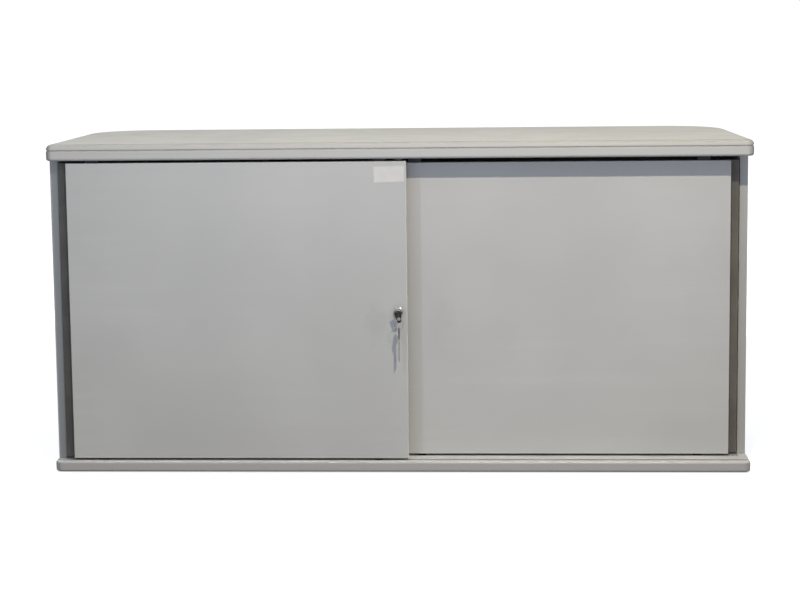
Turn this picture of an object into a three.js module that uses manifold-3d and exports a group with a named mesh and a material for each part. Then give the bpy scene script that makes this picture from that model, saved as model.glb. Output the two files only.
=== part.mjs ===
// Sliding door cabinet: a low office sideboard with two doors that pass each other.
// Millimetres, +Z up, +X to the right seen from the front, the front faces -Y.
// The parts are placed in a cabinet frame: X zero in the middle, Y zero at the front face of the
// top, Z zero at the underside of the base. The last lines shift it to the middle of its footprint.
import * as THREE from 'three';
import { mergeVertices } from 'three/addons/utils/BufferGeometryUtils.js';
import Module from 'manifold-3d';

const wasm = await Module();
wasm.setup();

// Overall sizes
const cabinetWidth = 1600;
const topDepth = 560;
const innerHeight = 697;

// Gaps
const seatGap = 0.2; // between two boards that are fixed to each other
const fitGap = 0.3; // round a fitting in its hole or groove
const overrun = 2; // how far a cut runs past the face it opens

// Cover board and the shadow joint under it
const coverThickness = 15;
const coverTopRadius = 12;
const shadowJointHeight = 1.6;
const shadowJointDepth = 1.5;

// Top board and base board
const topThickness = 22;
const topLowerRadius = 6;
const topUpperRadius = 1.2;
const baseThickness = 25;
const baseUpperRadius = 5;
const baseLowerRadius = 6;
const frontCornerRadius = 16;
const rearCornerRadius = 140;

// Upright boards
const sideThickness = 19;
const sideInset = 2; // outer face of a side behind the end of the top
const sideClearance = 5; // front edge of a side behind the door that closes in front of it
const rearOverhang = 120; // top and base behind the rear edges of the sides
const backThickness = 8;
const backInset = 3; // rear face of the back in front of the rear edges of the sides
const backTongue = 5; // how deep the back sits in the sides
const partitionThickness = 19;
const partitionClearance = 5; // front edge of the partition behind the rear door
const boardEdgeRadius = 1;

// Shelves and their pins
const shelfThickness = 19;
const shelfHeightAboveBase = 338; // underside of a shelf above the base board
const shelfSideClearance = 1;
const shelfFrontSetback = 8; // front edge of a shelf behind the front edge of the partition
const pinRadius = 2.5;
const pinInset = 7.5; // length of a pin inside its board
const pinReach = 7; // length of a pin under the shelf
const pinEdgeDistance = 37; // pin axis from the front or rear edge of its shelf

// Doors
const doorThickness = 19;
const frontDoorSetback = 10; // front face of the front door behind the front of the top
const doorSpacing = 22; // air between the two doors
const doorSideGap = 23; // door edge to the inner face of the side
const doorOverlap = 42;
const doorBottomGap = 5;
const frontDoorTopGap = 6;
const rearDoorTopGap = 13;
const doorEdgeRadius = 1;

// Grip strip on the outer edge of each door
const gripWidth = 20;
const gripThickness = 5;
const gripTongueWidth = 3;
const gripTongueDepth = 8;

// Tracks in the base and channels in the top
const trackWidth = 12;
const trackDepth = 5;
const trackWall = 1.2;
const trackEndInset = 7; // end of the front track inside the end of the base
const channelDepth = 8;

// Rollers, their housings and axles
const pocketWall = 3.2; // door material in front of and behind a fitting
const rollerRadius = 13;
const rollerWidth = 5;
const rollerEdgeDistance = 70; // roller axle from the edge of the door
const rollerChamfer = 0.6;
const axleRadius = 1.5;
const axleHoleClearance = 0.3;
const housingLength = 36;
const housingHeight = 22;
const rollerSideClearance = 0.6;
const rollerSlotClearance = 1;

// Guides at the top edge of each door and the stops in the channels
const guideEdgeDistance = 60;
const guideBlockLength = 40;
const guideBlockHeight = 20;
const guideTongueLength = 30;
const guideClearance = 0.5; // between a tongue and each wall of its channel
const guideTongueReach = 5.5; // how far a tongue rises into its channel
const stopLength = 20;

// Lock in the front door
const lockX = 0;
const lockHeight = 371; // lock axis above the underside of the base
const plugRadius = 4.2;
const plugLength = 13;
const coreWall = 2.1; // core round the hole for the plug
const coreProud = 7; // push core in front of the face of the door
const coreLength = 20;
const sleeveWall = 1.5;
const sleeveProud = 3.6; // sleeve in front of the face of the door
const rosetteReach = 2.6; // rosette beyond the sleeve
const rosetteThickness = 2.4;
const rosetteChamfer = 0.7;
const boltRadius = 3;
const strikeClearance = 0.8; // round the bolt
const strikeWall = 3.2;
const strikeDepth = 12;
const strikeCollarReach = 3; // collar of the strike beyond its tube
const strikeCollarThickness = 2;
const boltTravel = 6; // how far the core pushes in
const boltClearance = 1; // between the pushed bolt and the strike

// Key, spare key and ring
const keyStandoff = 15; // middle of the key bow in front of the face of the door
const keyLean = 8; // degrees that the bow leans to the right of the vertical
const bladeThickness = 2.2;
const bladeHeight = 6.6;
const bladeInPlug = 11;
const tangRadius = 3;
const hingePinRadius = 0.8;
const hingePinClearance = 0.35;
const bowHalfWidth = 8.5;
const bowTopReach = 6.5;
const bowShoulder = 1;
const bowLength = 22; // lower end of the bow from its hinge
const bowEndHalfWidth = 3.5;
const bowEndRadius = 2.5;
const bowThickness = 2.4;
const bowSlotClearance = 0.4; // on each side of the blade
const bowSlotEndClearance = 2.5; // round the rounded end of the blade
const bowHoleDistance = 13.2;
const bowHoleRadius = 3.9;
const spareBladeLength = 50;
const spareBladeNotch = 1.2;
const notchShares = [0.3, 0.45, 0.6, 0.75]; // of the spare blade's length
const ringRadius = 12.5;
const ringWireRadius = 0.8;
const ringTurn = 40; // degrees that the ring's plane is turned from the face of the door
const hangClearance = 1.2; // between a hanging piece and the wire that carries it

// Label on the front door
const labelWidth = 70;
const labelHeight = 37;
const labelThickness = 0.3;
const labelTilt = 2.5; // degrees
const labelEdgeDistance = 4; // from the inner edge of the front door
const labelTopDistance = 11; // from the top edge of the door

// Levelling glides
const glideHeight = 3;
const glideRadius = 20;
const glideStemRadius = 4;
const glideStemLength = 14;
const glideEdgeDistance = 60;
const glideFrontDistance = 70;

// Facets
const cornerSteps = 6;
const edgeSteps = 4;
const roundSteps = 28;
const wireSteps = 8;
const easedCornerShares = [0, 0.5, 1]; // of a quarter turn

// Levels and planes that follow from the sizes above
const halfWidth = cabinetWidth / 2;
const ceiling = baseThickness + innerHeight;
const coverLevel = ceiling + topThickness;
const sideOuter = halfWidth - sideInset;
const sideInner = sideOuter - sideThickness;
const sideRear = topDepth - rearOverhang;
const backFront = sideRear - backInset - backThickness;
const doorBottom = baseThickness + doorBottomGap;
const doorOuter = sideInner - doorSideGap;
const doorInner = doorOverlap / 2;
const doorWidth = doorOuter + doorInner;
const doorTravel = doorOuter - doorInner;
const rearDoorSetback = frontDoorSetback + doorThickness + doorSpacing;
const carcassFront = rearDoorSetback + doorThickness;
const partitionFront = carcassFront + partitionClearance;
const shelfFront = partitionFront + shelfFrontSetback;
const shelfLevel = baseThickness + shelfHeightAboveBase;
const trackFloor = baseThickness - trackDepth + trackWall;
const axleHeight = trackFloor + seatGap + rollerRadius;
const housingWidth = doorThickness - 2 * (pocketWall + fitGap);
const guideTongueWidth = trackWidth - 2 * (trackWall + guideClearance);
const coreRadius = plugRadius + fitGap + coreWall;
const sleeveRadius = coreRadius + fitGap + sleeveWall;
const rosetteRadius = sleeveRadius + rosetteReach;
const strikeBore = boltRadius + strikeClearance;
const strikeRadius = strikeBore + strikeWall;
const keyPlane = frontDoorSetback - keyStandoff;

// Each door: its name, the side it closes to, its front face and its upper edge
const doors = [
  { name: 'front', side: -1, face: frontDoorSetback, top: ceiling - frontDoorTopGap },
  { name: 'rear', side: 1, face: rearDoorSetback, top: ceiling - rearDoorTopGap },
];

const finishes = {
  board: new THREE.MeshStandardMaterial({ color: 0xb9b9b6, roughness: 0.55, metalness: 0 }),
  cover: new THREE.MeshStandardMaterial({ color: 0xc6c5bf, roughness: 0.5, metalness: 0 }),
  darkPlastic: new THREE.MeshStandardMaterial({ color: 0x5f5c55, roughness: 0.6, metalness: 0 }),
  track: new THREE.MeshStandardMaterial({ color: 0x9a9a97, roughness: 0.5, metalness: 0 }),
  nylon: new THREE.MeshStandardMaterial({ color: 0x4b4a47, roughness: 0.5, metalness: 0 }),
  steel: new THREE.MeshStandardMaterial({ color: 0xa8a8a6, roughness: 0.35, metalness: 1 }),
  nickel: new THREE.MeshStandardMaterial({ color: 0xb4b2ac, roughness: 0.3, metalness: 1 }),
  rubber: new THREE.MeshStandardMaterial({ color: 0x262626, roughness: 0.9, metalness: 0 }),
  blackPlastic: new THREE.MeshStandardMaterial({ color: 0x23211f, roughness: 0.5, metalness: 0 }),
  paper: new THREE.MeshStandardMaterial({ color: 0xd9d9d6, roughness: 0.8, metalness: 0 }),
};

const cabinet = new THREE.Group();

// A named mesh in the cabinet group
function addPart(name, geometry, finish) {
  const mesh = new THREE.Mesh(geometry, finishes[finish].clone());
  mesh.name = name;
  cabinet.add(mesh);
}

// Two places with the lower one first
function ordered(a, b) {
  return [Math.min(a, b), Math.max(a, b)];
}

// A three.js geometry with its shared vertices merged, as a solid
function toSolid(geometry) {
  const bare = geometry.clone();
  bare.deleteAttribute('normal');
  bare.deleteAttribute('uv');
  const merged = mergeVertices(bare);
  const triVerts = new Uint32Array(merged.index.array);
  const vertProperties = new Float32Array(merged.attributes.position.array);
  return new wasm.Manifold(new wasm.Mesh({ numProp: 3, vertProperties, triVerts }));
}

// A solid as a three.js geometry
function toGeometry(solid) {
  const mesh = solid.getMesh();
  const geometry = new THREE.BufferGeometry();
  const positions = new Float32Array(mesh.triVerts.length * mesh.numProp);
  mesh.triVerts.forEach((vertex, corner) => {
    for (let axis = 0; axis < mesh.numProp; axis += 1) {
      positions[corner * mesh.numProp + axis] = mesh.vertProperties[vertex * mesh.numProp + axis];
    }
  });
  geometry.setAttribute('position', new THREE.BufferAttribute(positions, mesh.numProp));
  geometry.computeVertexNormals();
  return geometry;
}

// The first geometry without the others
function cut(geometry, cutters) {
  const body = cutters.reduce((solid, cutter) => solid.subtract(toSolid(cutter)), toSolid(geometry));
  return toGeometry(body);
}

// All the geometries as one
function join(geometries) {
  const [first, ...others] = geometries.map(toSolid);
  return toGeometry(others.reduce((solid, other) => solid.add(other), first));
}

// A box between two corners
function box(low, high) {
  const size = high.map((value, axis) => value - low[axis]);
  const geometry = new THREE.BoxGeometry(...size);
  return geometry.translate(...low.map((value, axis) => value + size[axis] / 2));
}

// A disc, pin or tube along Y, from a closed profile of [radius, place along Y]
function turned(profile, x, z) {
  const points = [...profile, profile[0]].map(([radius, y]) => new THREE.Vector2(radius, y));
  return new THREE.LatheGeometry(points, roundSteps).translate(x, 0, z);
}

// A solid round bar along Y
function bar(radius, yFrom, yTo, x, z) {
  const points = [[0, yFrom], [radius, yFrom], [radius, yTo], [0, yTo]];
  const outline = points.map(([r, y]) => new THREE.Vector2(r, y));
  return new THREE.LatheGeometry(outline, roundSteps).translate(x, 0, z);
}

// An outline pushed along Z, from a list of [x, y]
function pushed(outline, depth) {
  const shape = new THREE.Shape(outline.map(([x, y]) => new THREE.Vector2(x, y)));
  return new THREE.ExtrudeGeometry(shape, { depth, bevelEnabled: false });
}

// The plan of the top, drawn in by an inset, with the same number of points at every inset
function planOutline(inset) {
  const corners = [
    { side: 1, centreY: frontCornerRadius, radius: frontCornerRadius, start: -Math.PI / 2 },
    { side: 1, centreY: topDepth - rearCornerRadius, radius: rearCornerRadius, start: 0 },
    { side: -1, centreY: topDepth - rearCornerRadius, radius: rearCornerRadius, start: Math.PI / 2 },
    { side: -1, centreY: frontCornerRadius, radius: frontCornerRadius, start: Math.PI },
  ];
  return corners.flatMap(({ side, centreY, radius, start }) => {
    const centreX = side * (halfWidth - radius);
    return Array.from({ length: cornerSteps + 1 }, (_, step) => {
      const angle = start + (Math.PI / 2) * (step / cornerSteps);
      const reach = radius - inset;
      return [centreX + reach * Math.cos(angle), centreY + reach * Math.sin(angle)];
    });
  });
}

// Heights and insets round a lower and an upper edge radius
function edgeLevels(bottom, top, lowerRadius, upperRadius) {
  const levels = [];
  for (let step = 0; step <= edgeSteps; step += 1) {
    const angle = (Math.PI / 2) * (step / edgeSteps);
    levels.push([bottom + lowerRadius * (1 - Math.cos(angle)), lowerRadius * (1 - Math.sin(angle))]);
  }
  for (let step = 0; step <= edgeSteps; step += 1) {
    const angle = (Math.PI / 2) * (step / edgeSteps);
    levels.push([top - upperRadius * (1 - Math.sin(angle)), upperRadius * (1 - Math.cos(angle))]);
  }
  return levels;
}

// A board of the top's plan, built up through levels of [height, inset]
function planBoard(levels) {
  const rings = levels.map(([height, inset]) => planOutline(inset).map(([x, y]) => [x, y, height]));
  const count = rings[0].length;
  const flat = rings[0].map(([x, y]) => new THREE.Vector2(x, y));
  const caps = THREE.ShapeUtils.triangulateShape(flat, []);
  const indices = caps.flatMap(([a, b, c]) => [a, c, b]);
  const last = (rings.length - 1) * count;
  caps.forEach(([a, b, c]) => indices.push(last + a, last + b, last + c));
  for (let level = 0; level < rings.length - 1; level += 1) {
    for (let point = 0; point < count; point += 1) {
      const next = (point + 1) % count;
      const low = level * count;
      const high = low + count;
      indices.push(low + point, low + next, high + next, low + point, high + next, high + point);
    }
  }
  const geometry = new THREE.BufferGeometry();
  geometry.setAttribute('position', new THREE.Float32BufferAttribute(rings.flat(2), 3));
  geometry.setIndex(indices);
  return geometry;
}

// A rectangle with rounded corners as a list of points
function roundedRectangle(xLow, xHigh, yLow, yHigh, radius) {
  const corners = [
    [xHigh - radius, yLow + radius, -Math.PI / 2],
    [xHigh - radius, yHigh - radius, 0],
    [xLow + radius, yHigh - radius, Math.PI / 2],
    [xLow + radius, yLow + radius, Math.PI],
  ];
  return corners.flatMap(([x, y, start]) => easedCornerShares.map((share) => {
    const angle = start + (Math.PI / 2) * share;
    return [x + radius * Math.cos(angle), y + radius * Math.sin(angle)];
  }));
}

// An upright board with eased vertical edges
function uprightBoard(xLow, xHigh, yLow, yHigh, zLow, zHigh, radius) {
  return pushed(roundedRectangle(xLow, xHigh, yLow, yHigh, radius), zHigh - zLow).translate(0, 0, zLow);
}

// Middle plane of a door
function doorMiddle(door) {
  return door.face + doorThickness / 2;
}

// A trough profile along X, open to one side of Z: up is 1 for a track, -1 for a channel
function trough(xLow, xHigh, middleY, floor, depth, up) {
  const half = trackWidth / 2;
  const inner = half - trackWall;
  const outline = [
    [-half, 0], [half, 0], [half, depth], [inner, depth], [inner, trackWall],
    [-inner, trackWall], [-inner, depth], [-half, depth],
  ];
  const profile = pushed(outline, xHigh - xLow).rotateX(Math.PI / 2).rotateZ(Math.PI / 2);
  if (up < 0) profile.rotateX(Math.PI);
  return profile.translate(xLow, middleY, floor);
}

function addTopBoards() {
  const rebate = coverLevel + shadowJointHeight;
  const coverLevels = [
    [coverLevel + seatGap, shadowJointDepth],
    [rebate, shadowJointDepth],
    ...edgeLevels(rebate, coverLevel + coverThickness, 0, coverTopRadius).slice(edgeSteps),
  ];
  addPart('cover_top', planBoard(coverLevels), 'cover');
  const board = planBoard(edgeLevels(ceiling, coverLevel, topLowerRadius, topUpperRadius));
  const half = trackWidth / 2 + fitGap;
  const grooves = doors.map((door) => box(
    [-sideInner, doorMiddle(door) - half, ceiling - overrun],
    [sideInner, doorMiddle(door) + half, ceiling + channelDepth + fitGap],
  ));
  addPart('top_panel', cut(board, grooves), 'board');
}

// Places of the four glides under the base
function glidePlaces() {
  const x = halfWidth - glideEdgeDistance;
  return [
    ['front_left', -x, glideFrontDistance],
    ['front_right', x, glideFrontDistance],
    ['rear_left', -x, sideRear - glideEdgeDistance],
    ['rear_right', x, sideRear - glideEdgeDistance],
  ];
}

function addBase() {
  const board = planBoard(edgeLevels(0, baseThickness, baseLowerRadius, baseUpperRadius));
  const half = trackWidth / 2 + fitGap;
  const grooves = doors.map((door) => {
    const reach = door.side < 0 ? halfWidth + overrun : sideInner;
    return box(
      [-reach, doorMiddle(door) - half, baseThickness - trackDepth - fitGap],
      [reach, doorMiddle(door) + half, baseThickness + overrun],
    );
  });
  const holes = glidePlaces().map(([, x, y]) => {
    const radius = glideStemRadius + fitGap;
    const depth = glideStemLength + fitGap;
    const hole = new THREE.CylinderGeometry(radius, radius, depth + overrun, roundSteps);
    return hole.rotateX(Math.PI / 2).translate(x, y, (depth - overrun) / 2);
  });
  addPart('base_panel', cut(board, [...grooves, ...holes]), 'board');
}

function addGlides() {
  glidePlaces().forEach(([place, x, y]) => {
    const points = [
      [0, -glideHeight], [glideRadius - seatGap, -glideHeight], [glideRadius, -glideHeight / 2],
      [glideRadius, -fitGap], [glideStemRadius, -fitGap], [glideStemRadius, glideStemLength],
      [0, glideStemLength],
    ];
    const outline = points.map(([radius, z]) => new THREE.Vector2(radius, z));
    const geometry = new THREE.LatheGeometry(outline, roundSteps).rotateX(Math.PI / 2);
    addPart(`glide_${place}`, geometry.translate(x, y, 0), 'blackPlastic');
  });
}

// Shelf pin places: side of the cabinet, board it sits in, and depth
function pinPlaces() {
  const front = shelfFront + pinEdgeDistance;
  const rear = backFront - pinEdgeDistance;
  const half = partitionThickness / 2;
  return [-1, 1].flatMap((side) => [
    ['outer', side * sideInner, -side], ['inner', side * half, side],
  ].flatMap(([board, x, inward]) => [['front', front], ['rear', rear]].map(([place, y]) => ({
    side, board, x, inward, place, y,
  }))));
}

// A hole or a pin along X, starting inside the board and ending in the compartment
function pinBar(pin, radius, into, outOf) {
  const length = into + outOf;
  const geometry = new THREE.CylinderGeometry(radius, radius, length, roundSteps / 2);
  const middle = pin.x + pin.inward * ((outOf - into) / 2);
  return geometry.rotateZ(Math.PI / 2).translate(middle, pin.y, shelfLevel - fitGap - pinRadius);
}

// Pin holes of a board: of one side of the cabinet, or of both where side is zero
function pinHoles(board, side) {
  return pinPlaces()
    .filter((pin) => pin.board === board && (side === 0 || pin.side === side))
    .map((pin) => pinBar(pin, pinRadius + fitGap, pinInset + fitGap, overrun));
}

// The sides, each with its front edge behind the door that closes in front of it
function addSides() {
  const low = baseThickness + seatGap;
  const high = ceiling - seatGap;
  doors.forEach(({ face, side }) => {
    const name = side < 0 ? 'left' : 'right';
    const front = face + doorThickness + sideClearance;
    const [xLow, xHigh] = ordered(side * sideOuter, side * sideInner);
    const board = uprightBoard(xLow, xHigh, front, sideRear, low, high, boardEdgeRadius);
    const grooveReach = sideInner + backTongue + fitGap;
    const [grooveLow, grooveHigh] = ordered(side * grooveReach, side * (sideInner - overrun));
    const groove = box(
      [grooveLow, backFront - fitGap, low - overrun],
      [grooveHigh, backFront + backThickness + fitGap, high + overrun],
    );
    addPart(`side_panel_${name}`, cut(board, [groove, ...pinHoles('outer', side)]), 'board');
  });
}

function addBackAndPartition() {
  const low = baseThickness + seatGap;
  const high = ceiling - seatGap;
  const reach = sideInner + backTongue;
  const back = box([-reach, backFront, low], [reach, backFront + backThickness, high]);
  addPart('back_panel', back, 'board');
  const half = partitionThickness / 2;
  const rear = backFront - seatGap;
  const partition = uprightBoard(-half, half, partitionFront, rear, low, high, boardEdgeRadius);
  addPart('centre_partition', cut(partition, pinHoles('inner', 0)), 'board');
}

function addShelves() {
  const near = partitionThickness / 2 + shelfSideClearance;
  const far = sideInner - shelfSideClearance;
  [['left', -1], ['right', 1]].forEach(([name, side]) => {
    const [xLow, xHigh] = ordered(side * near, side * far);
    const shelf = box(
      [xLow, shelfFront, shelfLevel],
      [xHigh, backFront - shelfSideClearance, shelfLevel + shelfThickness],
    );
    addPart(`shelf_${name}`, shelf, 'board');
  });
  pinPlaces().forEach((pin) => {
    const name = `shelf_pin_${pin.side < 0 ? 'left' : 'right'}_${pin.board}_${pin.place}`;
    addPart(name, pinBar(pin, pinRadius, pinInset, pinReach), 'steel');
  });
}

function addTracks() {
  doors.forEach((door) => {
    const reach = door.side < 0 ? halfWidth - trackEndInset : sideInner - seatGap;
    const floor = baseThickness - trackDepth;
    const track = trough(-reach, reach, doorMiddle(door), floor, trackDepth, 1);
    addPart(`${door.name}_bottom_track`, track, 'track');
    const channelReach = sideInner - seatGap;
    const roof = ceiling + channelDepth;
    const channel = trough(-channelReach, channelReach, doorMiddle(door), roof, channelDepth, -1);
    addPart(`${door.name}_top_channel`, channel, 'track');
  });
}

// Where a door's two fittings of one kind stand, from the distance to its vertical edges
function fittingPlaces(door, edgeDistance) {
  const outer = door.side * (doorOuter - edgeDistance);
  const inner = -door.side * (doorInner - edgeDistance);
  return [['left', Math.min(outer, inner)], ['right', Math.max(outer, inner)]];
}

// A pocket for a fitting in the lower or upper edge of a door
function pocket(door, x, length, low, high) {
  const halfLength = length / 2 + fitGap;
  const halfWidthAcross = housingWidth / 2 + fitGap;
  const middle = doorMiddle(door);
  return box(
    [x - halfLength, middle - halfWidthAcross, low],
    [x + halfLength, middle + halfWidthAcross, high],
  );
}

function addDoorPanel(door) {
  const [xLow, xHigh] = ordered(door.side * doorOuter, -door.side * doorInner);
  const rear = door.face + doorThickness;
  const panel = uprightBoard(xLow, xHigh, door.face, rear, doorBottom, door.top, doorEdgeRadius);
  const housings = fittingPlaces(door, rollerEdgeDistance).map(([, x]) => (
    pocket(door, x, housingLength, doorBottom - overrun, doorBottom + housingHeight + fitGap)));
  const guides = fittingPlaces(door, guideEdgeDistance).map(([, x]) => (
    pocket(door, x, guideBlockLength, door.top - guideBlockHeight - fitGap, door.top + overrun)));
  const tongueMiddle = rear - gripThickness / 2;
  const halfTongue = gripTongueWidth / 2 + fitGap;
  const grooveStart = doorOuter - gripTongueDepth - fitGap;
  const [grooveLow, grooveHigh] = ordered(door.side * (doorOuter + overrun), door.side * grooveStart);
  const groove = box(
    [grooveLow, tongueMiddle - halfTongue, doorBottom - overrun],
    [grooveHigh, tongueMiddle + halfTongue, door.top + overrun],
  );
  const [holeRadius, holeEnd] = door.side < 0
    ? [sleeveRadius + fitGap, rear + overrun]
    : [strikeRadius + fitGap, door.face + strikeDepth + fitGap];
  const lockHole = bar(holeRadius, door.face - overrun, holeEnd, lockX, lockHeight);
  addPart(`${door.name}_door_panel`, cut(panel, [...housings, ...guides, groove, lockHole]), 'board');
}

function addGripStrip(door) {
  const rear = door.face + doorThickness;
  const outer = doorOuter + gripWidth;
  const middle = rear - gripThickness / 2;
  const halfTongue = gripTongueWidth / 2;
  const start = doorOuter + fitGap;
  const outline = [
    [start, rear - gripThickness], [outer, rear - gripThickness], [outer, rear], [start, rear],
    [start, middle + halfTongue], [doorOuter - gripTongueDepth, middle + halfTongue],
    [doorOuter - gripTongueDepth, middle - halfTongue], [start, middle - halfTongue],
  ].map(([x, y]) => [door.side * x, y]);
  const forward = door.side < 0 ? outline.reverse() : outline;
  const strip = pushed(forward, door.top - doorBottom).translate(0, 0, doorBottom);
  addPart(`${door.name}_door_grip_strip`, strip, 'darkPlastic');
}

function addRollers(door) {
  const middle = doorMiddle(door);
  const holeRadius = axleRadius + axleHoleClearance;
  const halfRoller = rollerWidth / 2;
  const halfHousing = housingWidth / 2;
  fittingPlaces(door, rollerEdgeDistance).forEach(([place, x]) => {
    const halfLength = housingLength / 2;
    const block = box(
      [x - halfLength, middle - halfHousing, doorBottom],
      [x + halfLength, middle + halfHousing, doorBottom + housingHeight],
    );
    const slotReach = rollerRadius + rollerSlotClearance;
    const halfSlot = halfRoller + rollerSideClearance;
    const slot = box(
      [x - slotReach, middle - halfSlot, doorBottom - overrun],
      [x + slotReach, middle + halfSlot, axleHeight + slotReach],
    );
    const boreReach = halfHousing + overrun;
    const bore = bar(holeRadius, middle - boreReach, middle + boreReach, x, axleHeight);
    addPart(`${door.name}_roller_housing_${place}`, cut(block, [slot, bore]), 'nylon');
    const rim = halfRoller - rollerChamfer;
    const roller = turned([
      [holeRadius, middle - halfRoller], [rollerRadius - rollerChamfer, middle - halfRoller],
      [rollerRadius, middle - rim], [rollerRadius, middle + rim],
      [rollerRadius - rollerChamfer, middle + halfRoller], [holeRadius, middle + halfRoller],
    ], x, axleHeight);
    addPart(`${door.name}_roller_${place}`, roller, 'nylon');
    const axleReach = halfHousing - fitGap;
    const axle = bar(axleRadius, middle - axleReach, middle + axleReach, x, axleHeight);
    addPart(`${door.name}_roller_axle_${place}`, axle, 'steel');
  });
}

function addGuides(door) {
  const middle = doorMiddle(door);
  const halfHousing = housingWidth / 2;
  fittingPlaces(door, guideEdgeDistance).forEach(([place, x]) => {
    const block = box(
      [x - guideBlockLength / 2, middle - halfHousing, door.top - guideBlockHeight],
      [x + guideBlockLength / 2, middle + halfHousing, door.top],
    );
    const tongue = box(
      [x - guideTongueLength / 2, middle - guideTongueWidth / 2, door.top - overrun],
      [x + guideTongueLength / 2, middle + guideTongueWidth / 2, ceiling + guideTongueReach],
    );
    addPart(`${door.name}_top_guide_${place}`, join([block, tongue]), 'nylon');
  });
}

// Rubber stops in the channels, one where each door is closed and one where it is open
function addStops(door) {
  const middle = doorMiddle(door);
  const halfStop = guideTongueWidth / 2;
  const reach = doorOuter - guideEdgeDistance + guideTongueLength / 2 + fitGap;
  const roof = ceiling + channelDepth - trackWall - seatGap;
  [['left', -reach - stopLength], ['right', reach]].forEach(([place, x]) => {
    const stop = box(
      [x, middle - halfStop, ceiling + fitGap],
      [x + stopLength, middle + halfStop, roof],
    );
    addPart(`${door.name}_channel_stop_${place}`, stop, 'rubber');
  });
}

function addLock() {
  const face = frontDoorSetback;
  const rear = face + doorThickness;
  const sleeveBore = coreRadius + fitGap;
  const flange = face - rosetteThickness;
  const housing = turned([
    [sleeveBore, face - sleeveProud], [sleeveRadius, face - sleeveProud], [sleeveRadius, flange],
    [rosetteRadius - rosetteChamfer, flange], [rosetteRadius, flange + rosetteChamfer],
    [rosetteRadius, face - seatGap], [sleeveRadius, face - seatGap],
    [sleeveRadius, rear - fitGap], [sleeveBore, rear - fitGap],
  ], lockX, lockHeight);
  addPart('lock_housing', housing, 'nickel');
  const coreFront = face - coreProud;
  const coreRear = coreFront + coreLength;
  const plugBoreEnd = coreFront + plugLength + fitGap;
  const plugBore = bar(plugRadius + fitGap, coreFront - overrun, plugBoreEnd, lockX, lockHeight);
  const core = bar(coreRadius, coreFront, coreRear, lockX, lockHeight);
  const bolt = bar(boltRadius, coreRear - overrun, rear - fitGap, lockX, lockHeight);
  addPart('lock_core', cut(join([core, bolt]), [plugBore]), 'nickel');
  const plug = bar(plugRadius, coreFront + seatGap, coreFront + plugLength, lockX, lockHeight);
  const keyway = box(
    [-bladeThickness / 2 - fitGap, coreFront - overrun, -bladeHeight / 2 - fitGap],
    [bladeThickness / 2 + fitGap, coreFront + bladeInPlug + fitGap, bladeHeight / 2 + fitGap],
  );
  addPart('lock_plug', cut(plug, [leaned(keyway)]), 'steel');
  const strikeFront = rear - fitGap + boltTravel + boltClearance;
  const strikeRear = rearDoorSetback + strikeDepth;
  const collarRear = rearDoorSetback - seatGap;
  const collarFront = collarRear - strikeCollarThickness;
  const collarRadius = strikeRadius + strikeCollarReach;
  const strike = turned([
    [strikeBore, strikeFront], [strikeRadius, strikeFront], [strikeRadius, collarFront],
    [collarRadius, collarFront], [collarRadius, collarRear], [strikeRadius, collarRear],
    [strikeRadius, strikeRear], [strikeBore, strikeRear],
  ], lockX, lockHeight);
  addPart('strike_bush', strike, 'steel');
}

// A geometry drawn round the key's axis, leaned and set at the lock
function leaned(geometry) {
  return geometry.rotateY(THREE.MathUtils.degToRad(-keyLean)).translate(lockX, 0, lockHeight);
}

// The outline of a key bow, hinge at zero, end downwards
function bowOutline() {
  const end = -bowLength;
  return [
    [0, bowTopReach], [-bowHalfWidth, bowShoulder], [-bowHalfWidth, -bowShoulder],
    [-bowEndHalfWidth, end + bowEndRadius], [-bowEndHalfWidth + bowEndRadius, end],
    [bowEndHalfWidth - bowEndRadius, end], [bowEndHalfWidth, end + bowEndRadius],
    [bowHalfWidth, -bowShoulder], [bowHalfWidth, bowShoulder],
  ];
}

// A bow plate in the XZ plane, its middle at Y zero
function bowPlate() {
  const plate = pushed(bowOutline(), bowThickness).translate(0, 0, -bowThickness / 2);
  const hole = bar(bowHoleRadius, -bowThickness, bowThickness, 0, -bowHoleDistance);
  return cut(plate.rotateX(Math.PI / 2), [hole]);
}

function addKey() {
  const tang = new THREE.CylinderGeometry(tangRadius, tangRadius, bladeThickness, roundSteps);
  tang.rotateZ(Math.PI / 2).translate(0, keyPlane, 0);
  const coreFront = frontDoorSetback - coreProud;
  const half = bladeThickness / 2;
  const halfNeck = tangRadius * Math.SQRT1_2;
  const neck = box([-half, keyPlane, -halfNeck], [half, coreFront, halfNeck]);
  const blade = box(
    [-half, coreFront - fitGap, -bladeHeight / 2],
    [half, coreFront + bladeInPlug, bladeHeight / 2],
  );
  const pinHoleRadius = hingePinRadius + hingePinClearance;
  const holeLength = bladeThickness + overrun;
  const pinHole = new THREE.CylinderGeometry(pinHoleRadius, pinHoleRadius, holeLength, roundSteps);
  pinHole.rotateZ(Math.PI / 2).translate(0, keyPlane, 0);
  addPart('key_blade', leaned(cut(join([tang, neck, blade]), [pinHole])), 'nickel');
  const halfSlot = half + bowSlotClearance;
  const slot = box(
    [-halfSlot, -bowThickness, -tangRadius - bowSlotEndClearance],
    [halfSlot, bowThickness, bowTopReach + overrun],
  );
  const pinLength = 2 * halfSlot + overrun;
  const pin = new THREE.CylinderGeometry(hingePinRadius, hingePinRadius, pinLength, roundSteps);
  const bow = join([cut(bowPlate(), [slot]), pin.rotateZ(Math.PI / 2)]).translate(0, keyPlane, 0);
  addPart('key_bow', leaned(bow), 'blackPlastic');
}

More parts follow.
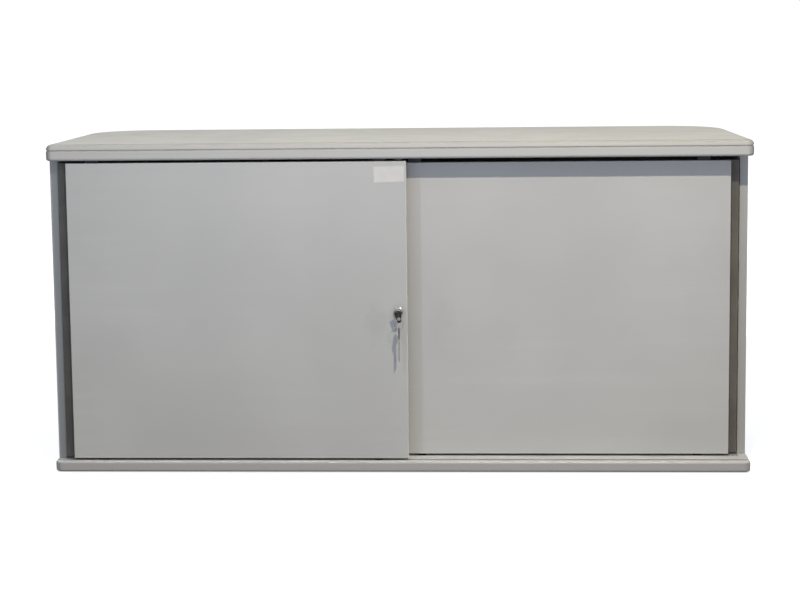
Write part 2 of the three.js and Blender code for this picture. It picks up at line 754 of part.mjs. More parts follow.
// Where the ring hangs, worked out from the hole in the leaning bow
function ringCentre() {
  const lean = THREE.MathUtils.degToRad(keyLean);
  const x = lockX + bowHoleDistance * Math.sin(lean);
  const holeZ = lockHeight - bowHoleDistance * Math.cos(lean);
  const topWire = holeZ - bowHoleRadius + ringWireRadius + hangClearance;
  return [x, keyPlane, topWire - ringRadius];
}

function addRing() {
  const ring = new THREE.TorusGeometry(ringRadius, ringWireRadius, wireSteps, roundSteps);
  ring.rotateX(Math.PI / 2).rotateZ(THREE.MathUtils.degToRad(ringTurn));
  addPart('key_ring', ring.translate(...ringCentre()), 'steel');
}

function addSpareKey() {
  const [x, y, z] = ringCentre();
  const bow = bowPlate().rotateY(Math.PI).rotateZ(Math.PI / 2);
  const holeDrop = bowHoleRadius - ringWireRadius - hangClearance;
  const hinge = z - ringRadius - holeDrop - bowHoleDistance;
  const socket = box(
    [-bladeThickness / 2 - fitGap, -bladeHeight / 2 - fitGap, -bowTopReach - overrun],
    [bladeThickness / 2 + fitGap, bladeHeight / 2 + fitGap, bowShoulder],
  );
  addPart('spare_key_bow', cut(bow, [socket]).translate(x, y, hinge), 'blackPlastic');
  const half = bladeHeight / 2;
  const tip = -bowTopReach - spareBladeLength;
  const notches = notchShares.flatMap((share) => {
    const level = -bowTopReach - share * spareBladeLength;
    const bottom = half - spareBladeNotch;
    return [[half, level + spareBladeNotch], [bottom, level], [half, level - spareBladeNotch]];
  });
  const outline = [
    [half, bowShoulder - fitGap], ...notches, [half, tip + spareBladeNotch], [0, tip],
    [-half, tip + spareBladeNotch], [-half, bowShoulder - fitGap],
  ].reverse();
  const blade = pushed(outline, bladeThickness).translate(0, 0, -bladeThickness / 2);
  blade.rotateX(Math.PI / 2).rotateZ(Math.PI / 2);
  addPart('spare_key_blade', blade.translate(x, y, hinge), 'nickel');
}

function addLabel() {
  const x = doorInner - labelEdgeDistance - labelWidth / 2;
  const z = ceiling - frontDoorTopGap - labelTopDistance - labelHeight / 2;
  const label = new THREE.BoxGeometry(labelWidth, labelThickness, labelHeight);
  label.rotateY(THREE.MathUtils.degToRad(-labelTilt));
  addPart('label', label.translate(x, frontDoorSetback - seatGap / 2 - labelThickness / 2, z), 'paper');
}

addTopBoards();
addBase();
addGlides();
addSides();
addBackAndPartition();
addShelves();
addTracks();
doors.forEach((door) => {
  addDoorPanel(door);
  addGripStrip(door);
  addRollers(door);
  addGuides(door);
  addStops(door);
});
addLock();
addKey();
addRing();
addSpareKey();
addLabel();

// The origin is the middle of the footprint, keys included, at the bottom of the glides
const footprint = new THREE.Box3().setFromObject(cabinet);
cabinet.position.set(0, -(footprint.min.y + footprint.max.y) / 2, glideHeight);
console.log(`door width ${doorWidth}, door travel ${doorTravel}`);
console.log(`origin ${-cabinet.position.y} behind the front of the top`);

export default cabinet;
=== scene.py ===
"""Looks of a sliding door cabinet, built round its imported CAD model.

Metres, +Z up, the front faces -Y and +X is to the right seen from the front.
"""
import logging
import math
from dataclasses import dataclass, replace
from enum import Enum
from typing import Callable, Sequence

import bmesh
import bpy
from mathutils import Matrix, Vector


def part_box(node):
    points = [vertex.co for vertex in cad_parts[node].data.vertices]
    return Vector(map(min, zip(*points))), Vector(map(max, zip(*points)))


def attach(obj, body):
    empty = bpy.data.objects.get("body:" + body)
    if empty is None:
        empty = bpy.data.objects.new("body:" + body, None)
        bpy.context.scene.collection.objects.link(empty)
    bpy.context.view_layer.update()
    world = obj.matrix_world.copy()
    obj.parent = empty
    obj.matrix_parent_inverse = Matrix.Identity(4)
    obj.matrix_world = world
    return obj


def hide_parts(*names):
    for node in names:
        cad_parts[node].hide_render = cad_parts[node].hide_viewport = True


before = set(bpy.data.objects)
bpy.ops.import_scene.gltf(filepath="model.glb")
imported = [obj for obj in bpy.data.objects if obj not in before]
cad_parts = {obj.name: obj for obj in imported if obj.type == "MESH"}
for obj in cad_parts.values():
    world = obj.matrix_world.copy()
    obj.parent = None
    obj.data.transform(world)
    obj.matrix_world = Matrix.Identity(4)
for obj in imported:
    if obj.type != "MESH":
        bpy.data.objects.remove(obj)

LOG = logging.getLogger("cabinet")
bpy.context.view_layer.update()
MM = 0.001
HAIR = 0.002 * MM  # points nearer than this are one point
SIDES = ("left", "right")
ENDS = ("front", "rear")
GLIDES = [f"glide_{end}_{side}" for end in ENDS for side in SIDES]
PINS = [f"shelf_pin_{side}_{board}_{end}" for side in SIDES for board in ("outer", "inner") for end in ENDS]
PAIR = 2
BORE_SIDES = 48
PIN_SIDES = 24
EDGE_STEPS = 8  # facets in a board's rounded edge
CORNER_STEPS = 5  # facets in a rounded corner of an outline
ROUND_STEPS = 64  # facets round a turned piece
FLAT = math.radians(0.5)  # facets that turn by less are one face
STRAIGHT = math.radians(1)  # corners that turn by less stay as they are

Colour = tuple[float, float, float, float]
Point = tuple[float, float]
Place = tuple[float, float, float]
Socket = bpy.types.NodeSocket
Piece = bpy.types.Object
Build = bmesh.types.BMesh
Finish = bpy.types.Material
Feed = float | Colour | Place | Vector | Socket
Inputs = dict[str | int, Feed]
Cutters = Callable[[Build], None]


class Slot(str, Enum):
    """Material slots of the record."""

    BOARD = "grey_board"
    DOOR = "door_board"
    COVER = "cover_laminate"
    DARK_PLASTIC = "dark_plastic"
    NYLON = "nylon"
    STEEL = "steel"
    NICKEL = "nickel"
    BLACK_PLASTIC = "black_plastic"
    PAPER = "label_paper"


class Body(str, Enum):
    """Bodies of the record that carry pieces of this scene."""

    CARCASS = "carcass"
    FRONT_DOOR = "front_door"
    REAR_DOOR = "rear_door"
    LOCK_CORE = "lock_core"
    LOCK_PLUG = "lock_plug"
    KEY_BOW = "key_bow"
    KEY_RING = "key_ring"
    SPARE_KEY = "spare_key"
    FRONT_ROLLER_LEFT = "front_roller_left"
    FRONT_ROLLER_RIGHT = "front_roller_right"
    REAR_ROLLER_LEFT = "rear_roller_left"
    REAR_ROLLER_RIGHT = "rear_roller_right"


class Axis(Enum):
    """The three directions, by their place in a vector."""

    X = 0
    Y = 1
    Z = 2


class Kind(str, Enum):
    """Socket kinds of the node groups."""

    NUMBER = "NodeSocketFloat"
    WHOLE = "NodeSocketInt"
    VECTOR = "NodeSocketVector"
    SHAPE = "NodeSocketGeometry"
    FINISH = "NodeSocketMaterial"


def srgb(red: int, green: int, blue: int) -> Colour:
    """Turns a display colour into a scene colour.

    Args:
        red: 0 to 255.
        green: 0 to 255.
        blue: 0 to 255.

    Returns:
        Linear red, green, blue and an alpha of one.
    """
    full, toe, knee, power = 255, 0.055, 12.92, 2.4
    cut = 0.04045

    def linear(value: int) -> float:
        """One channel."""
        share = value / full
        return share / knee if share <= cut else ((share + toe) / (1 + toe)) ** power

    return linear(red), linear(green), linear(blue), 1.0


@dataclass(frozen=True)
class Noise:
    """Noise: cells to the metre, detail, and the values where its spots begin and are full."""

    scale: float
    detail: float
    start: float = 0.0
    end: float = 1.0


class Graph:
    """A node tree being built, with short calls for the nodes that are used often."""

    def __init__(self, tree: bpy.types.NodeTree) -> None:
        """Starts on an empty tree."""
        self.tree = tree

    def node(self, kind: str, inputs: Inputs | None = None, **settings: object) -> bpy.types.Node:
        """Adds a node.

        Args:
            kind: Blender's name of the node type.
            inputs: values or sockets by the input's name or number.
            settings: properties of the node, set before its inputs.

        Returns:
            The new node.
        """
        node = self.tree.nodes.new(kind)
        for name, value in settings.items():
            setattr(node, name, value)
        for key, value in (inputs or {}).items():
            self.feed(node.inputs[key], value)
        return node

    def feed(self, socket: Socket, value: Feed) -> None:
        """Links a socket to another, or sets its value."""
        if isinstance(value, Socket):
            self.tree.links.new(value, socket)
        else:
            socket.default_value = value

    def math(self, operation: str, *values: Feed, clamp: bool = False) -> Socket:
        """A Math node's result."""
        node = self.node("ShaderNodeMath", dict(enumerate(values)), operation=operation)
        node.use_clamp = clamp
        return node.outputs[0]

    def vector(self, operation: str, *values: Feed) -> Socket:
        """A Vector Math node's vector."""
        return self.node("ShaderNodeVectorMath", dict(enumerate(values)), operation=operation).outputs[0]

    def length(self, vector: Feed) -> Socket:
        """A vector's length."""
        return self.node("ShaderNodeVectorMath", {0: vector}, operation="LENGTH").outputs["Value"]

    def parts(self, vector: Feed) -> Sequence[Socket]:
        """A vector's three numbers."""
        return self.node("ShaderNodeSeparateXYZ", {0: vector}).outputs

    def joined(self, **parts: Feed) -> Socket:
        """A vector from its X, Y and Z, zero where one isn't given."""
        return self.node("ShaderNodeCombineXYZ", parts).outputs[0]

    def span(self, value: Feed, start: Feed, end: Feed, low: Feed = 0.0, high: Feed = 1.0) -> Socket:
        """A smooth step of a value from low to high between start and end."""
        inputs = dict(enumerate((value, start, end, low, high)))
        return self.node("ShaderNodeMapRange", inputs, interpolation_type="SMOOTHSTEP").outputs[0]

    def noise(self, position: Feed, scale: Feed, detail: float) -> Socket:
        """Noise round one half."""
        inputs = {"Vector": position, "Scale": scale, "Detail": detail}
        return self.node("ShaderNodeTexNoise", inputs).outputs[0]

    def spots(self, position: Feed, kind: Noise) -> Socket:
        """Spots of noise, from none to full."""
        return self.span(self.noise(position, kind.scale, kind.detail), kind.start, kind.end)

    def blend(self, share: Feed, first: Feed, second: Feed) -> Socket:
        """A mixed colour, through the Mix node's sockets for colours."""
        return self.node("ShaderNodeMix", {0: share, 6: first, 7: second}, data_type="RGBA").outputs[2]


class Group(Graph):
    """A node group with named inputs and outputs."""

    def __init__(self, name: str, tree_type: str, inputs: dict[str, Kind], outputs: dict[str, Kind]) -> None:
        """Makes the group and its sockets.

        Args:
            name: the group's name.
            tree_type: Blender's name of the tree type.
            inputs: the kind of each input by name.
            outputs: the kind of each output by name.
        """
        super().__init__(bpy.data.node_groups.new(name, tree_type))
        for side, sockets in (("INPUT", inputs), ("OUTPUT", outputs)):
            for label, kind in sockets.items():
                self.tree.interface.new_socket(name=label, in_out=side, socket_type=kind.value)
        self.source = self.node("NodeGroupInput")
        self.sink = self.node("NodeGroupOutput")

    def get(self, name: str) -> Socket:
        """The value of one of the group's inputs."""
        return self.source.outputs[name]

    def give(self, name: str, value: Socket) -> None:
        """Sends a value to one of the group's outputs."""
        self.feed(self.sink.inputs[name], value)


class Effects:
    """Surface effects that several materials share, each one a shader group."""

    arris = 1.5 * MM  # how far the wear reaches from an edge
    blur = 0.15 * MM  # softness of a band's border
    pebble_softness = 0.6
    grain = Noise(0.45, 3.0)  # its cells counted in pebbles
    grain_share = 0.7
    chips = Noise(90.0, 5.0, 0.6, 0.75)
    clouds = Noise(1.0, 3.0, 0.3, 0.7)  # its cells counted in patches
    blotches = Noise(55.0, 4.0)
    blotch_share = 1.5
    spot_span = (0.2, 1.05)  # of the way to the spot's border
    streak_stretch = Vector((1.2, 1.0, 42.0))
    streak = Noise(1.0, 4.0, 0.45, 0.72)
    patches = Noise(2.6, 2.0, 0.4, 0.65)
    lying_span = (0.55, 0.98)  # of the upward part of the normal
    specks = Noise(14.0, 6.0, 0.38, 0.72)

    def __init__(self) -> None:
        """Builds every group once."""
        self.pebble = self._pebble()
        self.edging = self._edging()
        self.cloud = self._cloud()
        self.touch = self._touch()
        self.streaks = self._streaks()
        self.dust = self._dust()

    @staticmethod
    def _start(name: str, inputs: dict[str, Kind], *outputs: str) -> tuple[Group, Socket]:
        """A shader group whose outputs are numbers, and its position."""
        sockets = {"Position": Kind.VECTOR, **inputs}
        group = Group(name, "ShaderNodeTree", sockets, {label: Kind.NUMBER for label in outputs})
        return group, group.get("Position")

    def _pebble(self) -> Group:
        """The fine pebbled relief of melamine and of moulded plastic."""
        group, place = self._start("pebbled_relief", {"Cell": Kind.NUMBER}, "Height")
        scale = group.math("DIVIDE", 1.0, group.get("Cell"))
        inputs = {"Vector": place, "Scale": scale, "Smoothness": self.pebble_softness}
        cells = group.node("ShaderNodeTexVoronoi", inputs, feature="SMOOTH_F1").outputs["Distance"]
        rough = group.noise(place, group.math("MULTIPLY", scale, self.grain.scale), self.grain.detail)
        group.give("Height", group.math("MULTIPLY_ADD", rough, self.grain_share, cells))
        return group

    def _edging(self) -> Group:
        """A board's edging: its band, the seam beside it and the wear on it.

        Ignore takes the board's thin direction out of the distance to the border.
        """
        inputs = {"Middle": Kind.VECTOR, "Half Size": Kind.VECTOR, "Ignore": Kind.VECTOR,
                  "Width": Kind.NUMBER}
        group, place = self._start("board_edging", inputs, "Band", "Seam", "Wear")
        reach = group.vector("ABSOLUTE", group.vector("SUBTRACT", place, group.get("Middle")))
        spare = group.vector("SUBTRACT", group.get("Half Size"), reach)
        parts = group.parts(group.vector("ADD", spare, group.get("Ignore")))
        distance = group.math("MINIMUM", group.math("MINIMUM", parts[0], parts[1]), parts[2])
        width = group.get("Width")
        group.give("Band", group.span(distance, width, group.math("ADD", width, self.blur), 1.0, 0.0))
        from_seam = group.math("ABSOLUTE", group.math("SUBTRACT", distance, width))
        group.give("Seam", group.span(from_seam, 0.0, self.blur, 1.0, 0.0))
        sizes = group.parts(spare)
        low, high = group.math("MINIMUM", sizes[0], sizes[1]), group.math("MAXIMUM", sizes[0], sizes[1])
        to_arris = group.math("MAXIMUM", low, group.math("MINIMUM", high, sizes[2]))
        near = group.span(to_arris, 0.0, self.arris, 1.0, 0.0)
        group.give("Wear", group.math("MULTIPLY", near, group.spots(place, self.chips)))
        return group

    def _cloud(self) -> Group:
        """Slow unevenness, from minus one to one."""
        group, place = self._start("uneven_tone", {"Size": Kind.NUMBER}, "Cloud")
        wide = group.noise(place, group.math("DIVIDE", 1.0, group.get("Size")), self.clouds.detail)
        group.give("Cloud", group.span(wide, self.clouds.start, self.clouds.end, -1.0, 1.0))
        return group

    def _touch(self) -> Group:
        """A blotchy spot where hands have been."""
        group, place = self._start("handled_spot", {"Place": Kind.VECTOR, "Reach": Kind.VECTOR}, "Mask")
        away = group.vector("SUBTRACT", place, group.get("Place"))
        distance = group.length(group.vector("DIVIDE", away, group.get("Reach")))
        blotches = group.noise(place, self.blotches.scale, self.blotches.detail)
        shift = group.math("SUBTRACT", blotches, 0.5)
        spread = group.math("MULTIPLY_ADD", shift, self.blotch_share, distance)
        group.give("Mask", group.span(spread, *self.spot_span, 1.0, 0.0))
        return group

    def _streaks(self) -> Group:
        """Long faint streaks along X, as a wiping cloth leaves them."""
        group, place = self._start("wiped_streaks", {}, "Mask")
        streak = group.spots(group.vector("MULTIPLY", place, self.streak_stretch), self.streak)
        group.give("Mask", group.math("MULTIPLY", streak, group.spots(place, self.patches)))
        return group

    def _dust(self) -> Group:
        """Thin dust on what faces up."""
        group, place = self._start("settled_dust", {"Normal": Kind.VECTOR}, "Mask")
        lying = group.span(group.parts(group.get("Normal"))[2], *self.lying_span)
        group.give("Mask", group.math("MULTIPLY", lying, group.spots(place, self.specks)))
        return group


EFFECTS = Effects()


def scaled(colour: Colour, by: float) -> Colour:
    """A colour made lighter or darker, with no channel above one."""
    return tuple(min(1.0, channel * by) for channel in colour[:3]) + (1.0,)


class Paint(Graph):
    """The node tree of one material."""

    def __init__(self, name: str) -> None:
        """Starts a material with a Principled shader and Object coordinates."""
        self.material = bpy.data.materials.new(name)
        self.material.use_nodes = True
        super().__init__(self.material.node_tree)
        self.tree.nodes.clear()
        self.shader = self.node("ShaderNodeBsdfPrincipled")
        self.node("ShaderNodeOutputMaterial", {"Surface": self.shader.outputs[0]})
        self.position = self.node("ShaderNodeTexCoord").outputs["Object"]
        self.normal = self.node("ShaderNodeNewGeometry").outputs["Normal"]

    def effect(self, group: Group, **inputs: Feed) -> dict[str, Socket]:
        """Places a shared effect.

        Args:
            group: the effect.
            inputs: its inputs, an underscore standing for a space.

        Returns:
            Its outputs by name.
        """
        node = self.node("ShaderNodeGroup", node_tree=group.tree)
        for key, value in {"Position": self.position, **inputs}.items():
            self.feed(node.inputs[key.replace("_", " ")], value)
        return {output.name: output for output in node.outputs}

    def edge(self, node: str, thin: Axis, width: float) -> dict[str, Socket]:
        """The edging effect round the border of a CAD node.

        Args:
            node: the CAD node.
            thin: the direction of its thickness.
            width: the width of the band.

        Returns:
            The effect's outputs by name.
        """
        low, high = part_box(node)
        ignore = Vector((0, 0, 0))
        ignore[thin.value] = 1.0
        return self.effect(
            EFFECTS.edging, Middle=(low + high) / 2, Half_Size=(high - low) / 2, Ignore=ignore, Width=width)

    def mottled(self, colour: Colour, patch: float, spread: float) -> tuple[Socket, Socket]:
        """An unevenly toned colour.

        Args:
            colour: its middle tone.
            patch: the size of its patches.
            spread: how far they differ from the middle tone, as a share of it.

        Returns:
            The colour, and the unevenness from minus one to one.
        """
        cloud = self.effect(EFFECTS.cloud, Size=patch)["Cloud"]
        share = self.math("MULTIPLY_ADD", cloud, 0.5, 0.5)
        return self.blend(share, scaled(colour, 1 - spread), scaled(colour, 1 + spread)), cloud

    def over(self, base: Feed, top: Feed, mask: Socket, strength: float) -> Socket:
        """A colour with another laid over it through a mask of a given strength."""
        return self.blend(self.math("MULTIPLY", mask, strength), base, top)

    def set(self, **values: float) -> None:
        """Sets even values on the shader's own sockets, an underscore standing for a space."""
        for key, value in values.items():
            self.shader.inputs[key.replace("_", " ")].default_value = value

    def wire(self, name: str, value: Socket) -> None:
        """Feeds one of the shader's sockets."""
        self.feed(self.shader.inputs[name], value)

    def roughen(self, base: float, *changes: tuple[Socket, float]) -> None:
        """Feeds the shader's roughness from a base and what each mask adds to it."""
        rough = base
        for mask, change in changes:
            rough = self.math("MULTIPLY_ADD", mask, change, rough)
        self.wire("Roughness", rough)

    def relief(self, height: Feed, depth: float) -> None:
        """Feeds the shader's normal from a height, one unit of it as deep as given."""
        bump = self.node("ShaderNodeBump", {"Height": height, "Distance": depth, "Strength": 1.0})
        self.wire("Normal", bump.outputs[0])


@dataclass(frozen=True)
class Mark:
    """A soiled or rubbed spot on a board."""

    place: Place
    reach: Place
    tint: Colour
    strength: float


@dataclass(frozen=True)
class Laminate:
    """Melamine faced board with a plastic edging all round."""

    face: Colour
    # colour of the edging band; the carcass, base and cover set it darker as painted shade, the doors lighter
    # as a painted highlight
    edging: Colour
    dust: Colour = srgb(206, 204, 198)
    roughness: float = 0.5
    band: float = 2.0 * MM
    cell: float = 0.8 * MM
    relief: float = 0.012 * MM
    patch: float = 350 * MM
    mottle: float = 0.035
    dust_share: float = 0.35
    streak_share: float = 0.0
    streak_gain: float = 1.16
    wear_share: float = 0.55
    wear_gain: float = 0.72
    seam_wear: float = 0.45
    seam_depth: float = -3.0
    patch_roughness: float = 0.04
    dust_roughness: float = 0.2
    band_roughness: float = -0.08
    band_grain: float = -0.7
    refraction: float = 1.5

    def material(self, name: str, node: str, thin: Axis, marks: Sequence[Mark] = ()) -> Finish:
        """Builds the finish of one board.

        Args:
            name: the material's name.
            node: the CAD node of the board.
            thin: the direction of its thickness.
            marks: soiled and rubbed spots.

        Returns:
            The material.
        """
        paint = Paint(name)
        colour, cloud = paint.mottled(self.face, self.patch, self.mottle)
        streaks = paint.effect(EFFECTS.streaks)["Mask"]
        colour = paint.over(colour, scaled(self.face, self.streak_gain), streaks, self.streak_share)
        for mark in marks:
            mask = paint.effect(EFFECTS.touch, Place=Vector(mark.place), Reach=Vector(mark.reach))["Mask"]
            colour = paint.over(colour, mark.tint, mask, mark.strength)
        edge = paint.edge(node, thin, self.band)
        band, seam = edge["Band"], edge["Seam"]
        colour = paint.blend(band, colour, self.edging)
        worn = paint.math("MAXIMUM", edge["Wear"], paint.math("MULTIPLY", seam, self.seam_wear))
        colour = paint.over(colour, scaled(self.edging, self.wear_gain), worn, self.wear_share)
        dust = paint.effect(EFFECTS.dust, Normal=paint.normal)["Mask"]
        paint.wire("Base Color", paint.over(colour, self.dust, dust, self.dust_share))
        paint.roughen(self.roughness, (cloud, self.patch_roughness), (dust, self.dust_roughness),
                      (band, self.band_roughness))
        grain = paint.effect(EFFECTS.pebble, Cell=self.cell)["Height"]
        grain = paint.math("MULTIPLY", grain, paint.math("MULTIPLY_ADD", band, self.band_grain, 1.0))
        paint.relief(paint.math("MULTIPLY_ADD", seam, self.seam_depth, grain), self.relief)
        paint.set(IOR=self.refraction)
        return paint.material


@dataclass(frozen=True)
class Moulded:
    """Moulded or extruded plastic, rubber too."""

    colour: Colour
    roughness: float
    cell: float = 0.5 * MM
    relief: float = 0.008 * MM
    patch: float = 60 * MM
    mottle: float = 0.1
    scuff: Colour = srgb(150, 148, 144)
    scuffs: Noise = Noise(130.0, 5.0, 0.58, 0.74)
    scuff_stretch: Place = (1.0, 1.0, 7.0)
    scuff_share: float = 0.18
    scuff_roughness: float = 0.12
    dust_share: float = 0.3
    refraction: float = 1.49

    def material(self, name: str) -> Finish:
        """Builds the finish.

        Args:
            name: the material's name.

        Returns:
            The material.
        """
        paint = Paint(name)
        colour, _ = paint.mottled(self.colour, self.patch, self.mottle)
        scuffs = paint.spots(paint.vector("MULTIPLY", paint.position, self.scuff_stretch), self.scuffs)
        colour = paint.over(colour, self.scuff, scuffs, self.scuff_share)
        dust = paint.effect(EFFECTS.dust, Normal=paint.normal)["Mask"]
        paint.wire("Base Color", paint.over(colour, self.scuff, dust, self.dust_share))
        paint.roughen(self.roughness, (scuffs, self.scuff_roughness))
        paint.relief(paint.effect(EFFECTS.pebble, Cell=self.cell)["Height"], self.relief)
        paint.set(IOR=self.refraction)
        return paint.material


class Brushing(Enum):
    """How a metal was finished."""

    TURNED = "turned round an axis along Y"
    DRAWN = "drawn lengthwise"


@dataclass(frozen=True)
class Metal:
    """Plated or bare metal with the fine lines of its making."""

    colour: Colour
    tarnish: Colour
    roughness: float
    brushing: Brushing
    line: float = 0.25 * MM
    line_detail: float = 3.0
    line_stretch: Place = (1.0, 0.04, 0.04)
    line_roughness: float = 0.12
    relief: float = 0.006 * MM
    spot: float = 8 * MM
    spot_span: Point = (0.1, 0.95)
    spot_share: float = 0.6
    spot_roughness: float = 0.12

    def material(self, name: str, centre: Vector) -> Finish:
        """Builds the finish.

        Args:
            name: the material's name.
            centre: a point on the axis of a turned piece, or the middle of a drawn one.

        Returns:
            The material.
        """
        paint = Paint(name)
        local = paint.node("ShaderNodeMapping", {0: paint.position, 1: -centre}).outputs[0]
        if self.brushing is Brushing.TURNED:
            radius = paint.length(paint.vector("MULTIPLY", local, Vector((1.0, 0.0, 1.0))))
            lines = paint.joined(X=radius, Y=paint.parts(local)[1])
        else:
            lines = paint.vector("MULTIPLY", local, self.line_stretch)
        height = paint.noise(lines, 1 / self.line, self.line_detail)
        spots = paint.span(paint.effect(EFFECTS.cloud, Size=self.spot)["Cloud"], *self.spot_span)
        paint.wire("Base Color", paint.over(self.colour, self.tarnish, spots, self.spot_share))
        paint.roughen(self.roughness, (height, self.line_roughness), (spots, self.spot_roughness))
        paint.relief(height, self.relief)
        paint.set(Metallic=1.0)
        return paint.material


@dataclass(frozen=True)
class Paper:
    """Plain label paper with its fibres and slightly soiled borders."""

    colour: Colour
    soil: Colour
    roughness: float = 0.72
    relief: float = 0.02 * MM
    fibre: float = 0.6 * MM
    fibre_detail: float = 5.0
    fibre_stretch: Place = (0.4, 1.0, 1.0)
    fibre_roughness: float = 0.15
    border: float = 3.0 * MM
    border_share: float = 0.35
    patch: float = 20 * MM
    patch_share: float = 0.12

    def material(self, name: str, node: str) -> Finish:
        """Builds the finish.

        Args:
            name: the material's name.
            node: the CAD node of the sheet, whose thickness is along Y.

        Returns:
            The material.
        """
        paint = Paint(name)
        long = paint.vector("MULTIPLY", paint.position, self.fibre_stretch)
        fibres = paint.noise(long, 1 / self.fibre, self.fibre_detail)
        border = paint.math("MULTIPLY", paint.edge(node, Axis.Y, self.border)["Band"], self.border_share)
        cloud = paint.effect(EFFECTS.cloud, Size=self.patch)["Cloud"]
        soiled = paint.math("MULTIPLY_ADD", cloud, self.patch_share, border, clamp=True)
        paint.wire("Base Color", paint.blend(soiled, self.colour, self.soil))
        paint.roughen(self.roughness, (fibres, self.fibre_roughness))
        paint.relief(fibres, self.relief)
        return paint.material


# The carcass band is real edging, but its darker tone is painted shade on the side panels' front edges; the
# shelves, partition and back share it.
CARCASS_BOARD = Laminate(face=srgb(181, 181, 178), edging=srgb(169, 168, 164))
TOP_BOARD = replace(CARCASS_BOARD, edging=srgb(186, 185, 180))
# The base edging, on its edges all round and its front, is darker as painted shade for the dimmer light near
# the floor.
BASE_BOARD = replace(CARCASS_BOARD, edging=srgb(172, 170, 167))
# The door band is real edging, but its lighter tone is a painted highlight along the doors' borders and
# rounded edges.
DOOR_BOARD = Laminate(face=srgb(183, 183, 180), edging=srgb(196, 196, 193), streak_share=0.25)
# The cover's wide edging band, darker than its face, is painted shade on its rounded edge; the round-over is
# the same laminate as the top.
COVER_BOARD = Laminate(
    face=srgb(224, 223, 216), edging=srgb(184, 183, 177), roughness=0.68, band=12 * MM, relief=0.008 * MM)
GRIP_PLASTIC = Moulded(srgb(103, 99, 91), 0.5)
TRACK_PLASTIC = Moulded(srgb(160, 160, 157), 0.4, scuff=srgb(120, 119, 116))
# Nearly black: the nylon's own dark grey, darkened as painted shade so the top guides read as the shaded gap
# above the doors; the rollers and housings share it.
DARK_NYLON = Moulded(srgb(24, 24, 23), 0.55, scuff=srgb(40, 39, 38))
STOP_RUBBER = Moulded(srgb(44, 44, 44), 0.85, relief=0.015 * MM)
KEY_PLASTIC = Moulded(srgb(42, 40, 38), 0.42, scuff=srgb(96, 94, 90))
TURNED_NICKEL = Metal(srgb(206, 203, 196), srgb(168, 163, 152), 0.24, Brushing.TURNED)
DRAWN_NICKEL = Metal(srgb(206, 203, 196), srgb(160, 154, 142), 0.36, Brushing.DRAWN)
DARK_NICKEL = Metal(srgb(96, 93, 88), srgb(64, 61, 56), 0.42, Brushing.DRAWN)
TURNED_STEEL = Metal(srgb(190, 190, 188), srgb(140, 136, 128), 0.3, Brushing.TURNED)
DRAWN_STEEL = Metal(srgb(140, 139, 136), srgb(96, 93, 87), 0.3, Brushing.DRAWN)
LABEL_PAPER = Paper(srgb(207, 206, 202), srgb(180, 177, 169))


def as_piece(name: str, build: Build) -> Piece:
    """Turns a built mesh into an object at the origin.

    Args:
        name: the piece's name.
        build: its mesh, freed here.

    Returns:
        The object.
    """
    mesh = bpy.data.meshes.new(name)
    build.to_mesh(mesh)
    build.free()
    piece = bpy.data.objects.new(name, mesh)
    bpy.context.scene.collection.objects.link(piece)
    return piece


def centre_of(node: str) -> Vector:
    """The middle of a CAD node."""
    low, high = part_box(node)
    return (low + high) / 2


def grown(node: str, *by: float) -> tuple[Vector, Vector]:
    """The box of a CAD node, larger on both sides by a length along each axis, or by one for all."""
    low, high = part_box(node)
    reach = Vector(by if len(by) > 1 else by * 3)
    return low - reach, high + reach


def settled(piece: Piece) -> Piece:
    """Makes a piece's modifiers part of its mesh."""
    graph = bpy.context.evaluated_depsgraph_get()
    mesh = bpy.data.meshes.new_from_object(piece.evaluated_get(graph), depsgraph=graph)
    piece.modifiers.clear()
    old = piece.data
    piece.data = mesh
    bpy.data.meshes.remove(old)
    mesh.name = piece.name
    return piece


def shaded(piece: Piece, angle: float = 35.0) -> Piece:
    """Shades a piece smooth, with sharp edges where it turns by more than an angle in degrees."""
    piece.data.shade_smooth()
    piece.data.set_sharp_from_angle(angle=math.radians(angle))
    weighted = piece.modifiers.new("weighted_normals", "WEIGHTED_NORMAL")
    weighted.keep_sharp = True
    return settled(piece)


def eased(piece: Piece, radius: float, steps: int = 3, angle: float = 40.0) -> Piece:
    """Rounds a piece's edges.

    Args:
        piece: the piece.
        radius: the radius of the rounding.
        steps: facets in the rounding.
        angle: edges that turn by less, in degrees, stay as they are.

    Returns:
        The piece.
    """
    bevel = piece.modifiers.new("eased_edges", "BEVEL")
    bevel.width = radius
    bevel.segments = steps
    bevel.limit_method = "ANGLE"
    bevel.angle_limit = math.radians(angle)
    bevel.use_clamp_overlap = True
    return settled(piece)


def add_block(build: Build, low: Sequence[float], high: Sequence[float]) -> None:
    """Adds a box between two corners to a mesh being built."""
    size = [b - a for a, b in zip(low, high)]
    middle = [(a + b) / 2 for a, b in zip(low, high)]
    matrix = Matrix.Translation(middle) @ Matrix.Diagonal((*size, 1.0))
    bmesh.ops.create_cube(build, size=1.0, matrix=matrix)


def boxed(name: str, node: str, radius: float, steps: int = 3) -> Piece:
    """A board as large as a CAD node, with its edges rounded.

    Args:
        name: the piece's name.
        node: the CAD node.
        radius: the radius on its edges.
        steps: facets in the rounding.

    Returns:
        The piece, not yet shaded.
    """
    build = bmesh.new()
    add_block(build, *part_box(node))
    return eased(as_piece(name, build), radius, steps)


def add_bar(build: Build, radius: float, start: Vector, end: Vector, sides: int = BORE_SIDES) -> None:
    """Adds a round bar between two points to a mesh being built."""
    run = end - start
    turn = run.to_track_quat("Z", "Y").to_matrix().to_4x4()
    matrix = Matrix.Translation((start + end) / 2) @ turn
    bmesh.ops.create_cone(
        build, cap_ends=True, segments=sides, radius1=radius, radius2=radius, depth=run.length, matrix=matrix)


